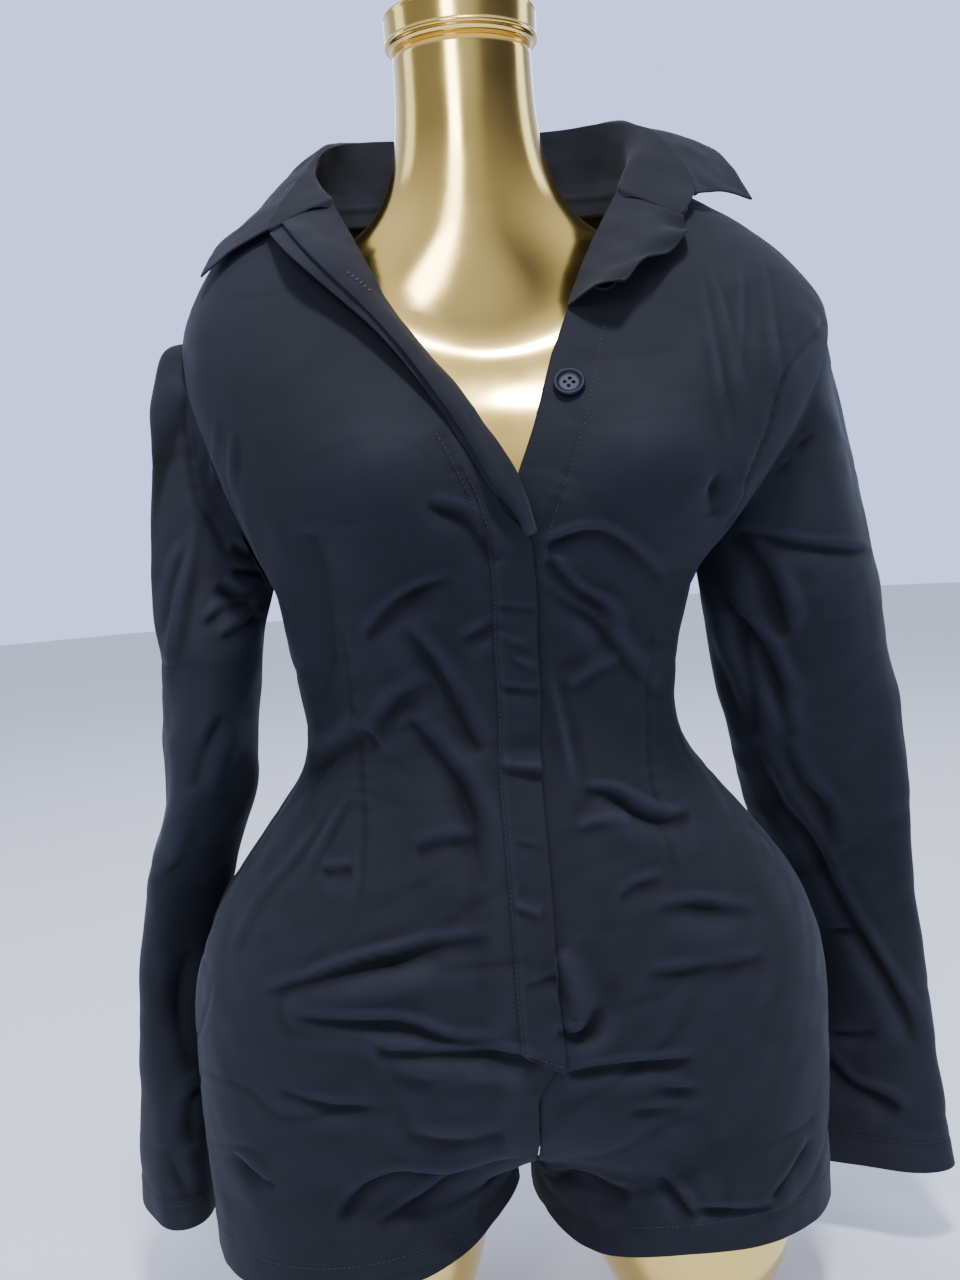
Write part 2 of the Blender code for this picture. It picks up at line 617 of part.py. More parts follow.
# The neck above the neckline: height, half width, front and back, one row for each ring.
NECK = (
    (0.821, 0.0425, -0.0425, 0.0425),
    (0.796, 0.0425, -0.0425, 0.0430),
    (0.772, 0.0440, -0.0440, 0.0460),
    (0.750, 0.0480, -0.0470, 0.0520),
    (0.728, 0.0570, -0.0510, 0.0600),
    (0.710, 0.0740, -0.0550, 0.0650),
)
NECK_FRONT_DROP = (0.0, 0.0, 0.002, 0.006, 0.012, 0.020)  # how far each of those rings dips at the front
FORM_HANG = 0.3  # the form hangs this share of the cloth's way to the left
FORM_DROP = (0.0, 0.034, 0.026, 0.016, 0.008, 0.003)  # how far the form's shoulders lie below the cloth's rows
THIGH_COLUMNS = "z x y half_x front back".split()
THIGHS = (
    (0.185, 0.100, 0.010, 0.0900, 0.093, 0.104),
    (0.150, 0.103, 0.009, 0.0870, 0.088, 0.093),
    (0.115, 0.104, 0.008, 0.0840, 0.082, 0.085),
    (0.085, 0.105, 0.006, 0.0770, 0.076, 0.078),
    (0.055, 0.105, 0.004, 0.0700, 0.071, 0.072),
    (0.030, 0.105, 0.002, 0.0600, 0.060, 0.060),
    (0.012, 0.105, 0.002, 0.0500, 0.050, 0.050),
    (0.000, 0.105, 0.002, 0.0380, 0.038, 0.038),
)


def closed_rings(around, rings, point):
    """A closed body of rings, each of them points round it, with a flat face at both ends."""
    shape = bmesh.new()
    bmesh.ops.create_grid(shape, x_segments=around, y_segments=rings - 1, size=0.5)
    for corner in shape.verts:
        u, v = corner.co.x + 0.5, 0.5 - corner.co.y
        corner.co = point(u % 1.0, int(round(v * (rings - 1))))
    bmesh.ops.remove_doubles(shape, verts=shape.verts, dist=1e-6)
    bmesh.ops.holes_fill(shape, edges=[edge for edge in shape.edges if edge.is_boundary], sides=0)
    return shape


def form_torso():
    last = ROW["seat_low"]

    def point(u, ring):
        side, angle = (1, 360 * u) if u <= 0.5 else (-1, 360 * (1 - u))
        if ring < len(NECK):
            z, half, front, back = NECK[ring]
            turn = math.radians(angle)
            reach = abs(front) if math.cos(turn) > 0 else back
            drop = NECK_FRONT_DROP[ring] * max(math.cos(turn), 0) ** 2
            return (side * half * math.sin(turn), -reach * math.cos(turn), z - drop)
        row = ring - len(NECK) + 1
        room = SECTION["room"][row]
        ring_here = read_sections(row)
        ring_here["leg"] = 0.0
        inset = room + (1 - FORM_HANG) * abs(ring_here["shift"])
        drop = FORM_DROP[row] if row < len(FORM_DROP) else 0.0
        return ring_point(side, ring_here, row, angle, inset, FORM_HANG) - np.array((0, 0, drop))

    return closed_rings(FORM_AROUND, len(NECK) + last, point)


def form_thigh(side):
    def point(u, ring):
        z, x, y, half, front, back = THIGHS[ring]
        turn = math.tau * u
        reach = front if math.cos(turn) > 0 else back
        return (side * (x + half * math.sin(turn)), y - reach * math.cos(turn), z)

    return closed_rings(24, len(THIGHS), point)


CAP_PROFILE = (  # the cap on the neck, from the middle of its top: radius and height
    (0.0000, 0.8440),
    (0.0400, 0.8432),
    (0.0460, 0.8424),
    (0.0470, 0.8400),
    (0.0470, 0.8262),
    (0.0462, 0.8242),
    (0.0440, 0.8235),
    (0.0430, 0.8213),
    (0.0000, 0.8213),
)
KNOB_PROFILE = (
    (0.0000, 0.8745),
    (0.0100, 0.8735),
    (0.0200, 0.8700),
    (0.0270, 0.8630),
    (0.0290, 0.8550),
    (0.0262, 0.8480),
    (0.0200, 0.8443),
    (0.0000, 0.8443),
)


def make_dress_form(gold, collection):
    body = make_object("form_body", form_torso(), gold, collection)
    cutters = bpy.data.collections.new("joined_shapes")
    bpy.context.scene.collection.children.link(cutters)
    cutters.hide_render = True
    for side, name in ((1, "thigh_left"), (-1, "thigh_right")):
        thigh = make_object(name, form_thigh(side), gold, cutters)
        thigh.hide_render = True
        thigh.display_type = "WIRE"
        union = body.modifiers.new(name, "BOOLEAN")
        union.operation = "UNION"
        union.solver = "EXACT"
        union.object = thigh
    make_turned("neck_cap", CAP_PROFILE, 28, gold, collection)
    make_turned("neck_knob", KNOB_PROFILE, 20, gold, collection)


# ---------------------------------------------------------------- assembly


def main():
    clear_scene()
    collection = bpy.data.collections.new(OBJECT_NAME)
    bpy.context.scene.collection.children.link(collection)
    suiting = make_material("black_suiting", (0.018, 0.019, 0.023), 0.72)
    gold = make_material("gold_plating", (0.83, 0.62, 0.22), 0.12, metallic=1.0)
    navy = make_material("navy_button", (0.010, 0.012, 0.022), 0.22)

    top, hem = 0, ROW["hem"]
    across, down = 10, len(ROW) - 1
    for name, side, lift in (("right", -1, overlap_lift), ("left", 1, None)):
        front = cloth_sheet(across, down, panel(side, False, top, hem, across, lift))
        make_object(f"front_{name}", front, suiting, collection)
        back = cloth_sheet(across - 2, down, panel(side, True, top, hem, across))
        make_object(f"back_{name}", back, suiting, collection)
        cuff = SLEEVE_CAP + len(SLEEVES["left"]) - 1
        upper = make_sleeve(side, 0, SLEEVE_SPLIT - SLEEVE_AIR)
        make_object(f"sleeve_{name}_upper", upper, suiting, collection)
        make_object(f"sleeve_{name}_lower", make_sleeve(side, SLEEVE_SPLIT + SLEEVE_AIR, cuff), suiting, collection)
    make_object("collar_stand", make_collar_stand(), suiting, collection)
    make_object("collar_fall", make_collar_fall(), suiting, collection)
    make_object("facing_left", make_turned_front(1), suiting, collection)
    make_object("facing_right", make_turned_front(-1, layer=1, share=0.75), suiting, collection)
    make_object("fly_turned", make_turned_front(-1), suiting, collection)
    make_object("fly_cover", make_fly_cover(), suiting, collection)
    for name, row, across in BUTTONS:
        point, out = body_place(1, row, edge_angle(1, row) + math.degrees(across / spline(SECTION["half"], row)))
        make_turned(name, BUTTON_PROFILE, 20, navy, collection, point + out * (CLOTH + 2 * SEAM), out)
    make_dress_form(gold, collection)


main()
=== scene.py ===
"""Romper on a limbless dress form: its cloth, form, buttons and sewing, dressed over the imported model.

The body's cloth lies on one surface, given by SECTIONS. A place on it is a row number, and an angle that runs
from 0 at the centre front over 90 at the side seam to 180 at the centre back. Places are measured from the
axis of the form's neck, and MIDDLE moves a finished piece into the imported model's frame. Tables of places are
in millimetres, and other lengths are in metres.
"""

import json
import math

import bmesh
import bpy
import numpy as np
from mathutils import Matrix, Vector

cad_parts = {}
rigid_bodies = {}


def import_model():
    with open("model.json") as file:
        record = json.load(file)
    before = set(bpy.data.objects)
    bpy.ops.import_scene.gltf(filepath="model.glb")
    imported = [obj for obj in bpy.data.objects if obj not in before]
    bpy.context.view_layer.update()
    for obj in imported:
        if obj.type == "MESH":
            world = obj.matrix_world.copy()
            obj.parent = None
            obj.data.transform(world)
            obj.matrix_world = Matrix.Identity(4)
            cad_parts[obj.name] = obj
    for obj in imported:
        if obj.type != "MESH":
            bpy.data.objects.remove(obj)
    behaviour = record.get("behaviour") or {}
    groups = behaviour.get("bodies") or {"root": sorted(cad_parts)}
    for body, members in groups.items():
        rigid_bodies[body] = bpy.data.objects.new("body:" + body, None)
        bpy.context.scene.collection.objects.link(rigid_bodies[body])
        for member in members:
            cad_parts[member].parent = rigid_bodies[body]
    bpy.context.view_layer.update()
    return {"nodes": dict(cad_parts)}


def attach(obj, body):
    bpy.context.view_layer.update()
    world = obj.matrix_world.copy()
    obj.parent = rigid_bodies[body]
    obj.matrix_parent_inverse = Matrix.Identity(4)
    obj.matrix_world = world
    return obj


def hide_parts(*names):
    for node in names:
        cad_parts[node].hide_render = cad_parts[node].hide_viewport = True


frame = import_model()

bl_info = {
    "name": "Romper on a dress form",
    "version": (1, 0, 0),
    "blender": (4, 5, 0),
    "location": "View3D > Sidebar > Romper",
    "description": "Dresses the packed model of a romper on a limbless dress form",
    "category": "Add Mesh",
}

# ---------------------------------------------------------------- sizes of the garment

MM = 1000  # millimetres in a metre, for the tables of places
CLOTH = 0.0015  # from the inner face of a layer to its outer face
LAYER = 0.0021  # from one layer to the next
SEAM_MM = 0.3  # air between two pieces that are sewn together
SEAM = SEAM_MM / MM
BAND = 0.025  # width of the button band and of the fly cover
MIDDLE = (0.0135, 0.0120)  # the middle of the object, across and back from the axis of the form's neck
SQUARE = 0.07  # how much fuller than an ellipse the body's rings are at their quarters
SHEET = 0.0010  # the thickness that a sheet of cloth is shown with

# The rings of the body: half the width, how far back (y) and how high (z) the side, front and back are, how
# far the ring is shifted to the wearer's left, the share of the way to two legs, where the fronts end, the
# angles of the armholes, and the air over the form.
SECTION_COLUMNS = (
    "half side_y side_z front_y front_z back_y back_z shift leg "
    "right_edge left_edge arm_right arm_left arm_back room"
).split()
PLAIN_COLUMNS = ("leg", "arm_right", "arm_left", "arm_back")  # shares and angles, not lengths
SECTIONS = {
    "neckline": (98, 12, 744, -60, 690, 70, 755, 0, 0, 80, 80, 90, 90, 90, 20),
    "collar_bone": (118, 12, 736, -70, 670, 79, 741, 2, 0, 69, 56, 90, 90, 90, 12),
    "yoke": (140, 10, 724, -80, 648, 88, 722, 5, 0, 58.5, 43, 90, 90, 90, 4),
    "yoke_low": (164, 8, 706, -90, 626, 94, 697, 9, 0, 42.5, 31, 90, 90, 90, 2),
    "shoulder_top": (185, 5, 682, -100, 605, 98, 668, 14, 0, 26.2, 22.5, 90, 90, 90, 1.2),
    "shoulder": (198, 3, 656, -107, 586, 99, 640, 17, 0, 14, 15.5, 90, 90, 90, 2.2),
    "arm_top": (196, 2, 625, -112, 567, 98, 612, 16, 0, 2.8, 7.2, 80, 63, 104, 2.6),
    "arm": (184, 2, 592, -114, 550, 95, 585, 12, 0, -5, 0, 76, 59, 112, 2.2),
    "arm_low": (167, 2, 558, -113, 531, 91, 555, 6, 0, -10, -7, 78, 63, 112, 2),
    "arm_base": (149, 2, 527, -110, 511, 86, 527, 0, 0, -11.2, -12, 82, 74, 104, 1.5),
    "armpit": (132, 2, 500, -104, 492, 81, 500, -6, 0, -12, -12, 90, 90, 90, 2),
    "ribs": (124, 2, 468, -96, 464, 74, 468, -9, 0, -11.5, -12, 90, 90, 90, 2.5),
    "waist_top": (118, 2, 436, -89, 434, 69, 436, -9, 0, -12.5, -12, 90, 90, 90, 3),
    "waist": (116, 3, 408, -86, 407, 70, 408, -8, 0, -11.5, -12, 90, 90, 90, 3),
    "waist_low": (124, 5, 382, -88, 381, 82, 382, -7, 0, -10.5, -12, 90, 90, 90, 3),
    "hip_top": (141, 8, 358, -94, 355, 102, 356, -6, 0, -10.5, -12, 90, 90, 90, 2.5),
    "hip_high": (163, 10, 330, -101, 327, 125, 328, -5, 0, -10.5, -12, 90, 90, 90, 2),
    "hip_mid": (185, 12, 300, -108, 297, 143, 298, -5, 0, -10.4, -12, 90, 90, 90, 1.2),
    "hip_low": (199, 13, 268, -113, 265, 153, 264, -5, 0, -10, -12, 90, 90, 90, 0.8),
    "hip": (205, 13, 236, -114, 233, 155, 228, -5, 0, -11, SEAM_MM, 90, 90, 90, 0.8),
    "seat": (206, 12, 206, -112, 203, 149, 192, -5, 0, SEAM_MM, SEAM_MM, 90, 90, 90, 1.8),
    "seat_low": (206, 10, 176, -108, 169, 139, 160, -5, 0.07, SEAM_MM, SEAM_MM, 90, 90, 90, 14),
    "thigh": (205, 8, 151, -104, 146, 130, 139, -5, 0.32, SEAM_MM, SEAM_MM, 90, 90, 90, 14),
    "crotch_top": (204, 6, 134, -101, 131, 124, 129, -5, 0.69, SEAM_MM, SEAM_MM, 90, 90, 90, 14),
    "crotch": (203, 5, 119, -99, 124, 119, 124, -5, 1, SEAM_MM, SEAM_MM, 90, 90, 90, 14),
    "leg": (203, 5, 100, -99, 108, 117, 108, -5, 1, SEAM_MM, SEAM_MM, 90, 90, 90, 14),
    "hem": (203, 5, 81, -100, 93, 115, 93, -5, 1, SEAM_MM, SEAM_MM, 90, 90, 90, 14),
}
ROW = {name: number for number, name in enumerate(SECTIONS)}
SECTION = {
    column: np.array([row[place] for row in SECTIONS.values()]) / (1 if column in PLAIN_COLUMNS else MM)
    for place, column in enumerate(SECTION_COLUMNS)
}
RING_COLUMNS = SECTION_COLUMNS[:9]


def metres(table):
    """A table given in millimetres, as an array in metres."""
    return np.array(table, float) / MM


# Soft forms on the chest: place (x, z), reach across and up, and how far they stand out.
SWELLS = metres(((-72, 566, 46, 44, 20), (78, 566, 46, 44, 20)))
# The largest folds: a soft ridge from one place (x, z) to another, how wide it is and how far it stands out.
FOLDS = metres((
    (-70, 552, -16, 520, 12, 3),
    (-36, 498, -82, 452, 14, 4),
    (26, 500, 80, 428, 14, 4.5),
    (-137, 270, -34, 288, 13, 3),
    (-121, 250, -21, 219, 13, 3),
    (32, 372, 95, 350, 13, 3.5),
    (59, 286, 150, 283, 13, 3),
    (26, 315, 26, 236, 14, 4),
    (-165, 160, -80, 165, 13, 3),
    (20, 150, 90, 138, 13, 3),
))
LEG_GAP = {"crotch": 0.0026, "leg": 0.0065, "hem": 0.0055}  # half the gap between the legs
LEG_DEPTH = 0.93  # how deep a leg is against the whole ring
# Where a leg's hem hangs lower: how far, at which angle, and over how many degrees.
HEM_HANGS = {
    "right": ((-0.013, 12, 14), (0.004, 55, 22)),
    "left": ((0.012, 22, 13),),
}

# ---------------------------------------------------------------- creases

# Each crease is a soft stroke over the cloth: how wide it is, how far it stands out (a trough is minus), and
# the places (x, z) that it runs through. It fades at both ends.
SHOULDER_CREASES = (
    (2.8, 0.6, (152, 676), (146, 648), (138, 618), (135, 591)),
    (3, 0.7, (167, 678), (164, 648), (161, 618), (157, 589)),
)
FRONT_CREASES = (
    # the wearer's right front
    (6, -3, (-47, 548), (-29, 541), (-17, 527), (-8, 515)),
    (5, -3.4, (-83, 475), (-67, 493), (-51, 502), (-33, 506)),
    (4, -1.6, (-32, 470), (-19, 476), (-8, 482)),
    (6, -3.2, (-63, 481), (-49, 460), (-38, 436), (-30, 415), (-23, 403)),
    (8, -4.2, (-64, 427), (-51, 408), (-38, 386), (-31, 363), (-28, 328)),
    (7, -3, (-88, 410), (-74, 428), (-61, 441), (-47, 446)),
    (9, -4.5, (-134, 377), (-114, 399), (-95, 412), (-85, 419)),
    (16, -5, (-110, 538), (-105, 501), (-109, 459), (-122, 418)),
    (3, 1.2, (-99, 381), (-114, 361), (-132, 335)),
    (3, 1.3, (-112, 374), (-135, 345), (-160, 318), (-179, 288)),
    (7, -2.2, (-65, 349), (-45, 353), (-28, 351)),
    (5, -4.8, (-157, 270), (-125, 281), (-99, 289), (-77, 293), (-58, 297), (-25, 299)),
    (5, -3.4, (-143, 257), (-113, 256), (-81, 255), (-59, 245), (-43, 241), (-23, 238)),
    (4, -3.8, (-97, 241), (-71, 238), (-46, 235), (-23, 233), (-1, 228)),
    (4, -1.6, (-154, 213), (-125, 206), (-89, 203)),
    (8, -2, (-83, 187), (-53, 179), (-25, 182)),
    (5, -3.6, (-126, 128), (-110, 151), (-91, 160), (-70, 156), (-52, 155), (-16, 162)),
    (5, -2.8, (-103, 125), (-82, 136), (-59, 148), (-37, 151)),
    (5, -2.4, (-188, 164), (-175, 154), (-161, 149)),
    (4, -1.8, (-120, 338), (-101, 340)),
    (2.5, 1.2, (-158, 604), (-165, 584), (-170, 567)),
    (2.5, 1, (-149, 599), (-152, 579), (-155, 560)),
    # the wearer's left front
    (5, -3.8, (18, 520), (27, 524), (41, 527), (53, 524), (68, 512), (88, 494)),
    (5, -4.4, (18, 514), (33, 496), (49, 484), (59, 469)),
    (6, -3, (15, 499), (32, 486), (47, 475), (60, 456), (76, 436), (91, 420)),
    (5, 1.8, (29, 438), (45, 449), (63, 454)),
    (4, 2, (20, 443), (24, 422), (27, 401), (31, 376)),
    (5, -4.8, (35, 376), (51, 372), (68, 360), (85, 352), (101, 352)),
    (4, 1.6, (28, 356), (44, 359), (63, 359)),
    (4, -1.4, (50, 313), (61, 319), (78, 320)),
    (5, -2.6, (72, 305), (93, 304), (114, 298), (134, 292)),
    (6, -1.8, (60, 270), (83, 268), (108, 267), (137, 264)),
    (4, -3.4, (12, 218), (35, 219), (61, 217), (88, 215)),
    (4, -1.5, (59, 204), (94, 193)),
    (4, -1.3, (47, 189), (81, 185)),
    (6, -3, (7, 114), (23, 130), (40, 124), (52, 124)),
    (4, -2.8, (68, 137), (79, 120), (88, 107)),
    (4, -2.6, (85, 116), (109, 111), (138, 106)),
    (5, -2, (136, 111), (153, 123), (170, 135)),
    (2.6, 0.7, (125, 669), (124, 638), (124, 613), (123, 592), (124, 569)),
    (2.6, 0.5, (132, 676), (134, 654), (135, 628), (132, 603)),
    *SHOULDER_CREASES,
    (8, -4, (122, 557), (118, 544), (119, 530)),
    (8, 3.4, (12, 290), (20, 272), (24, 252)),
    (4.5, -4, (8, 246), (16, 240), (26, 243), (33, 256)),
)
BACK_CREASES = (
    (20, -3, (-120, 600), (-95, 540), (-90, 470)),
    (22, -3.2, (122, 605), (98, 545), (88, 465)),
    (8, -2.4, (-98, 455), (-60, 430), (-18, 424)),
    (9, -2.6, (102, 462), (66, 438), (16, 432)),
    (7, -1.8, (-90, 420), (-50, 404), (-12, 408)),
    (8, -2, (86, 414), (44, 398), (10, 400)),
    (10, -2, (-160, 330), (-110, 312), (-50, 318)),
    (10, -2.2, (150, 322), (105, 305), (40, 310)),
    (9, -2.2, (-170, 190), (-110, 168), (-30, 182)),
    (9, -2.4, (165, 182), (100, 164), (26, 178)),
    (8, -1.8, (-165, 120), (-120, 136), (-60, 128)),
    (8, -1.8, (170, 126), (120, 140), (55, 130)),
    (12, 2, (-60, 690), (-72, 640), (-70, 590)),
    (12, 1.8, (70, 694), (84, 645), (80, 600)),
    (9, -1.8, (-20, 560), (-45, 520), (-82, 500)),
    (9, -2, (24, 566), (50, 524), (86, 506)),
)
SLEEVE_CREASES = {
    "right": (
        (4, -3.4, (-161, 532), (-152, 523), (-138, 520)),
        (4, -3.4, (-162, 516), (-152, 513), (-139, 509)),
        (5, -3.8, (-172, 508), (-163, 502), (-152, 499)),
        (5, -2.2, (-181, 484), (-167, 493), (-154, 496)),
        (5, -2.2, (-172, 475), (-157, 483), (-151, 488)),
        (4, 1.8, (-182, 548), (-191, 511), (-201, 473), (-209, 445)),
        (3, 1.2, (-189, 538), (-200, 515), (-207, 482)),
        (2.5, 1.2, (-158, 604), (-165, 584), (-170, 567)),
        (2.5, 1, (-168, 604), (-176, 581)),
        (6, -2.2, (-174, 430), (-186, 409), (-197, 384)),
        (8, 2, (-206, 420), (-206, 380), (-218, 330)),
        (8, -2.4, (-196, 360), (-214, 330), (-236, 318)),
        (9, -4, (-217, 264), (-226, 237), (-229, 204), (-223, 174)),
        (7, -3.5, (-220, 163), (-227, 149), (-227, 126)),
        (6, -2, (-244, 129), (-238, 108), (-229, 86)),
    ),
    "left": (
        (4, -2.6, (146, 521), (174, 511), (190, 507), (235, 500)),
        (6, -4, (147, 519), (158, 505), (165, 488), (173, 462), (178, 453)),
        (6, -4, (141, 484), (148, 467), (160, 452), (171, 429), (186, 406)),
        (7, -4.4, (148, 467), (153, 447), (159, 418), (163, 383)),
        (6, -3.6, (135, 468), (140, 439), (147, 412), (156, 389)),
        (5, -3, (160, 452), (171, 423), (183, 383)),
        (3, -1, (182, 568), (194, 575)),
        (3, -1, (167, 553), (179, 560)),
        (7, -3.5, (178, 381), (194, 350), (212, 328), (227, 295)),
        (9, -4.8, (162, 378), (176, 349), (195, 318), (212, 292), (221, 268)),
        (5, -3.6, (194, 327), (215, 292), (234, 252), (244, 230), (262, 194), (275, 164), (278, 147)),
        (3, -2, (230, 228), (243, 229)),
        (3, -1.2, (228, 148), (255, 156)),
        (6, -3, (212, 150), (234, 118), (253, 111), (266, 101)),
        *SHOULDER_CREASES,
        (9, -1.6, (218, 620), (228, 560), (236, 500)),
    ),
}
SLEEVE_BACK_CREASES = (
    (10, -2.8, (160, 540), (180, 460), (190, 400)),
    (9, -2.6, (240, 400), (214, 360), (190, 340)),
    (9, -2.6, (256, 360), (232, 322), (204, 300)),
    (10, 2.4, (220, 300), (240, 220), (246, 150)),
    (8, -2.2, (262, 270), (250, 200), (256, 120)),
)

# Sewn tucks and other sewn lines that press a fine groove into the cloth: how wide, how deep, and the places.
LEFT_ARMHOLE = ((214, 652), (197, 636), (176, 619), (161, 600), (155, 582), (147, 566))
FRONT_GROOVES = (
    (2.4, -0.8, (-99, 482), (-95, 432), (-92, 378), (-98, 319)),
    (2.4, -0.8, (84, 478), (80, 430), (78, 376), (88, 322)),
    (2.2, -0.5, (-35, 587), (-23, 543)),
    (2.2, -0.5, (43, 590), (36, 571), (25, 545), (13, 525)),
    (2.4, -1.2, *LEFT_ARMHOLE, (141, 550), (137, 534), (127, 516)),
)
SLEEVE_GROOVES = {
    "right": (
        (2.6, -1.2, (-182, 656), (-182, 630), (-184, 600), (-181, 563), (-174, 548), (-160, 514)),
    ),
    "left": (
        (2.4, -1.2, (222, 662), *LEFT_ARMHOLE),
    ),
}
BACK_GROOVES = (
    (2.4, -0.8, (-78, 500), (-74, 430), (-76, 380), (-82, 320)),
    (2.4, -0.8, (70, 500), (66, 430), (68, 380), (74, 320)),
    (2.2, -0.8, (0, 750), (14, 668), (16, 612), (0, 527), (-9, 452), (-6, 356), (-5, 260), (-5, 150)),
)

CREASE_DEPTH = 1.5  # how deep the creases are against their table
FOLD_CREST = 1.35  # how round the line of a fold is: 1 is sharp and 2 is round
SAG = 0.4  # how much steeper the side of a fold is where the cloth sags over it
LIPS = ((-1.7, 1.2, 0.45), (1.9, 1.3, 0.25))  # beside a crease: place and width in crease widths, and height
CRUMPLE_REACH = np.array((0.8, 0.8, 1.3))  # crumples run further across than down
STROKE_PLACES = 14  # the places that a stroke's curve is read at
PUCKER, PUCKER_PITCH, PUCKER_REACH = 0.00022, 0.011, 0.008  # height, length and reach beside a seam
CRUMPLE_EDGE = 0.20  # how wide a crumple is against its waves


def smooth_step(here, rise_here, there, rise_there, step):
    """A smooth way from here, at step 0, to there, at step 1, with the rise at both ends given."""
    return (
        here * (2 * step**3 - 3 * step**2 + 1)
        + rise_here * (step**3 - 2 * step**2 + step)
        + there * (3 * step**2 - 2 * step**3)
        + rise_there * (step**3 - step**2)
    )


def curve(values, at):
    """A smooth curve through values given at 0, 1, 2 ..., read at many places."""
    values = np.asarray(values, float)
    last = len(values) - 1
    at = np.clip(at, 0.0, last)
    low = np.minimum(at.astype(int), last - 1)
    step = at - low
    if values.ndim > 1:
        step = step[..., None]
    before, here = values[np.maximum(low - 1, 0)], values[low]
    there, after = values[low + 1], values[np.minimum(low + 2, last)]
    return smooth_step(here, (there - before) / 2, there, (after - here) / 2, step)


def ease(low, high, value):
    """0 below low, 1 above high, and a smooth step between."""
    step = np.clip((value - low) / (high - low), 0.0, 1.0)
    return step * step * (3 - 2 * step)


def unit(vectors):
    """The same vectors, each one metre long."""
    return vectors / np.maximum(np.linalg.norm(vectors, axis=-1, keepdims=True), 1e-12)


def nearest_on_line(x, z, line):
    """How far aside of a line each place lies, its share of the line's length, and how far above it is.

    The distance has a sign for its side. Above is 1 straight over the line and -1 straight under it.
    """
    best = np.full(x.shape, np.inf)
    aside, along, above = np.zeros(x.shape), np.zeros(x.shape), np.zeros(x.shape)
    for number, (start, end) in enumerate(zip(line, line[1:])):
        step = end - start
        share = np.clip(((x - start[0]) * step[0] + (z - start[1]) * step[1]) / (step @ step), 0, 1)
        off_x, off_z = x - start[0] - share * step[0], z - start[1] - share * step[1]
        distance = np.hypot(off_x, off_z)
        nearer = distance < best
        side = np.sign(off_x * step[1] - off_z * step[0])
        best = np.where(nearer, distance, best)
        aside = np.where(nearer, side * distance, aside)
        along = np.where(nearer, (number + share) / (len(line) - 1), along)
        above = np.where(nearer, off_z / np.maximum(distance, 1e-9), above)
    return aside, along, above


def stroke_line(points):
    """The smooth line of a stroke, in metres, through its places in millimetres."""
    return curve(metres(points), np.linspace(0, len(points) - 1, STROKE_PLACES))


def crease_relief(x, z, creases):
    """How far the creases move the cloth out at each place. A trough has a soft lip on both sides."""
    total = np.zeros(x.shape)
    for number, (wide, out, *points) in enumerate(creases):
        wide, out, line = wide / MM, out / MM, stroke_line(points)
        (low_x, low_z), (high_x, high_z) = line.min(axis=0) - 4 * wide, line.max(axis=0) + 4 * wide
        near = (x > low_x) & (x < high_x) & (z > low_z) & (z < high_z)
        if not near.any():
            continue
        aside, along, above = nearest_on_line(x[near], z[near], line)
        fade = np.sin(math.pi * along) ** 0.7 * (1 + 0.25 * np.sin(9 * along + 2 * number))
        sag = 1 + SAG * above * np.sign(out)
        across = aside / (wide * (0.75 + 0.4 * along) * sag)
        shape = np.exp(-(np.abs(across) ** FOLD_CREST))
        shape -= sum(high * np.exp(-(((across - place) / reach) ** 2)) for place, reach, high in LIPS)
        total[near] += CREASE_DEPTH * out * fade * shape
    return total


def groove_relief(x, z, grooves):
    """Fine grooves along sewn lines, with small puckers beside them."""
    total = np.zeros(x.shape)
    for wide, out, *points in grooves:
        wide, out, line = wide / MM, out / MM, stroke_line(points)
        aside, along, _ = nearest_on_line(x, z, line)
        length = np.linalg.norm(np.diff(line, axis=0), axis=1).sum()
        fade = np.clip(np.sin(math.pi * along) * 3, 0, 1)
        puckers = PUCKER * np.sin(math.tau * along * length / PUCKER_PITCH + 3 * np.sin(11 * along))
        puckers *= np.exp(-((aside / PUCKER_REACH) ** 2))
        total += fade * (out * np.exp(-((aside / wide) ** 2)) + puckers)
    return total


def ripple(place, length, seed, many=9):
    """Soft uneven waves of about this length in space, mostly between -1 and 1."""
    draw = np.random.default_rng(seed)
    total = np.zeros(place.shape[:-1])
    for _ in range(many):
        way = unit(draw.normal(size=3))
        reach = length * draw.uniform(0.7, 1.5)
        total += np.sin(place @ way * math.tau / reach + draw.uniform(0, math.tau))
    return total / math.sqrt(many)


def crumple(place, length, seed):
    """Thin uneven creases that run across each other, from 0 to -1."""
    return -np.exp(-((ripple(place * CRUMPLE_REACH, length, seed, 6) / CRUMPLE_EDGE) ** 2))


# ---------------------------------------------------------------- surface of the body


def side_name(side):
    return "left" if side > 0 else "right"


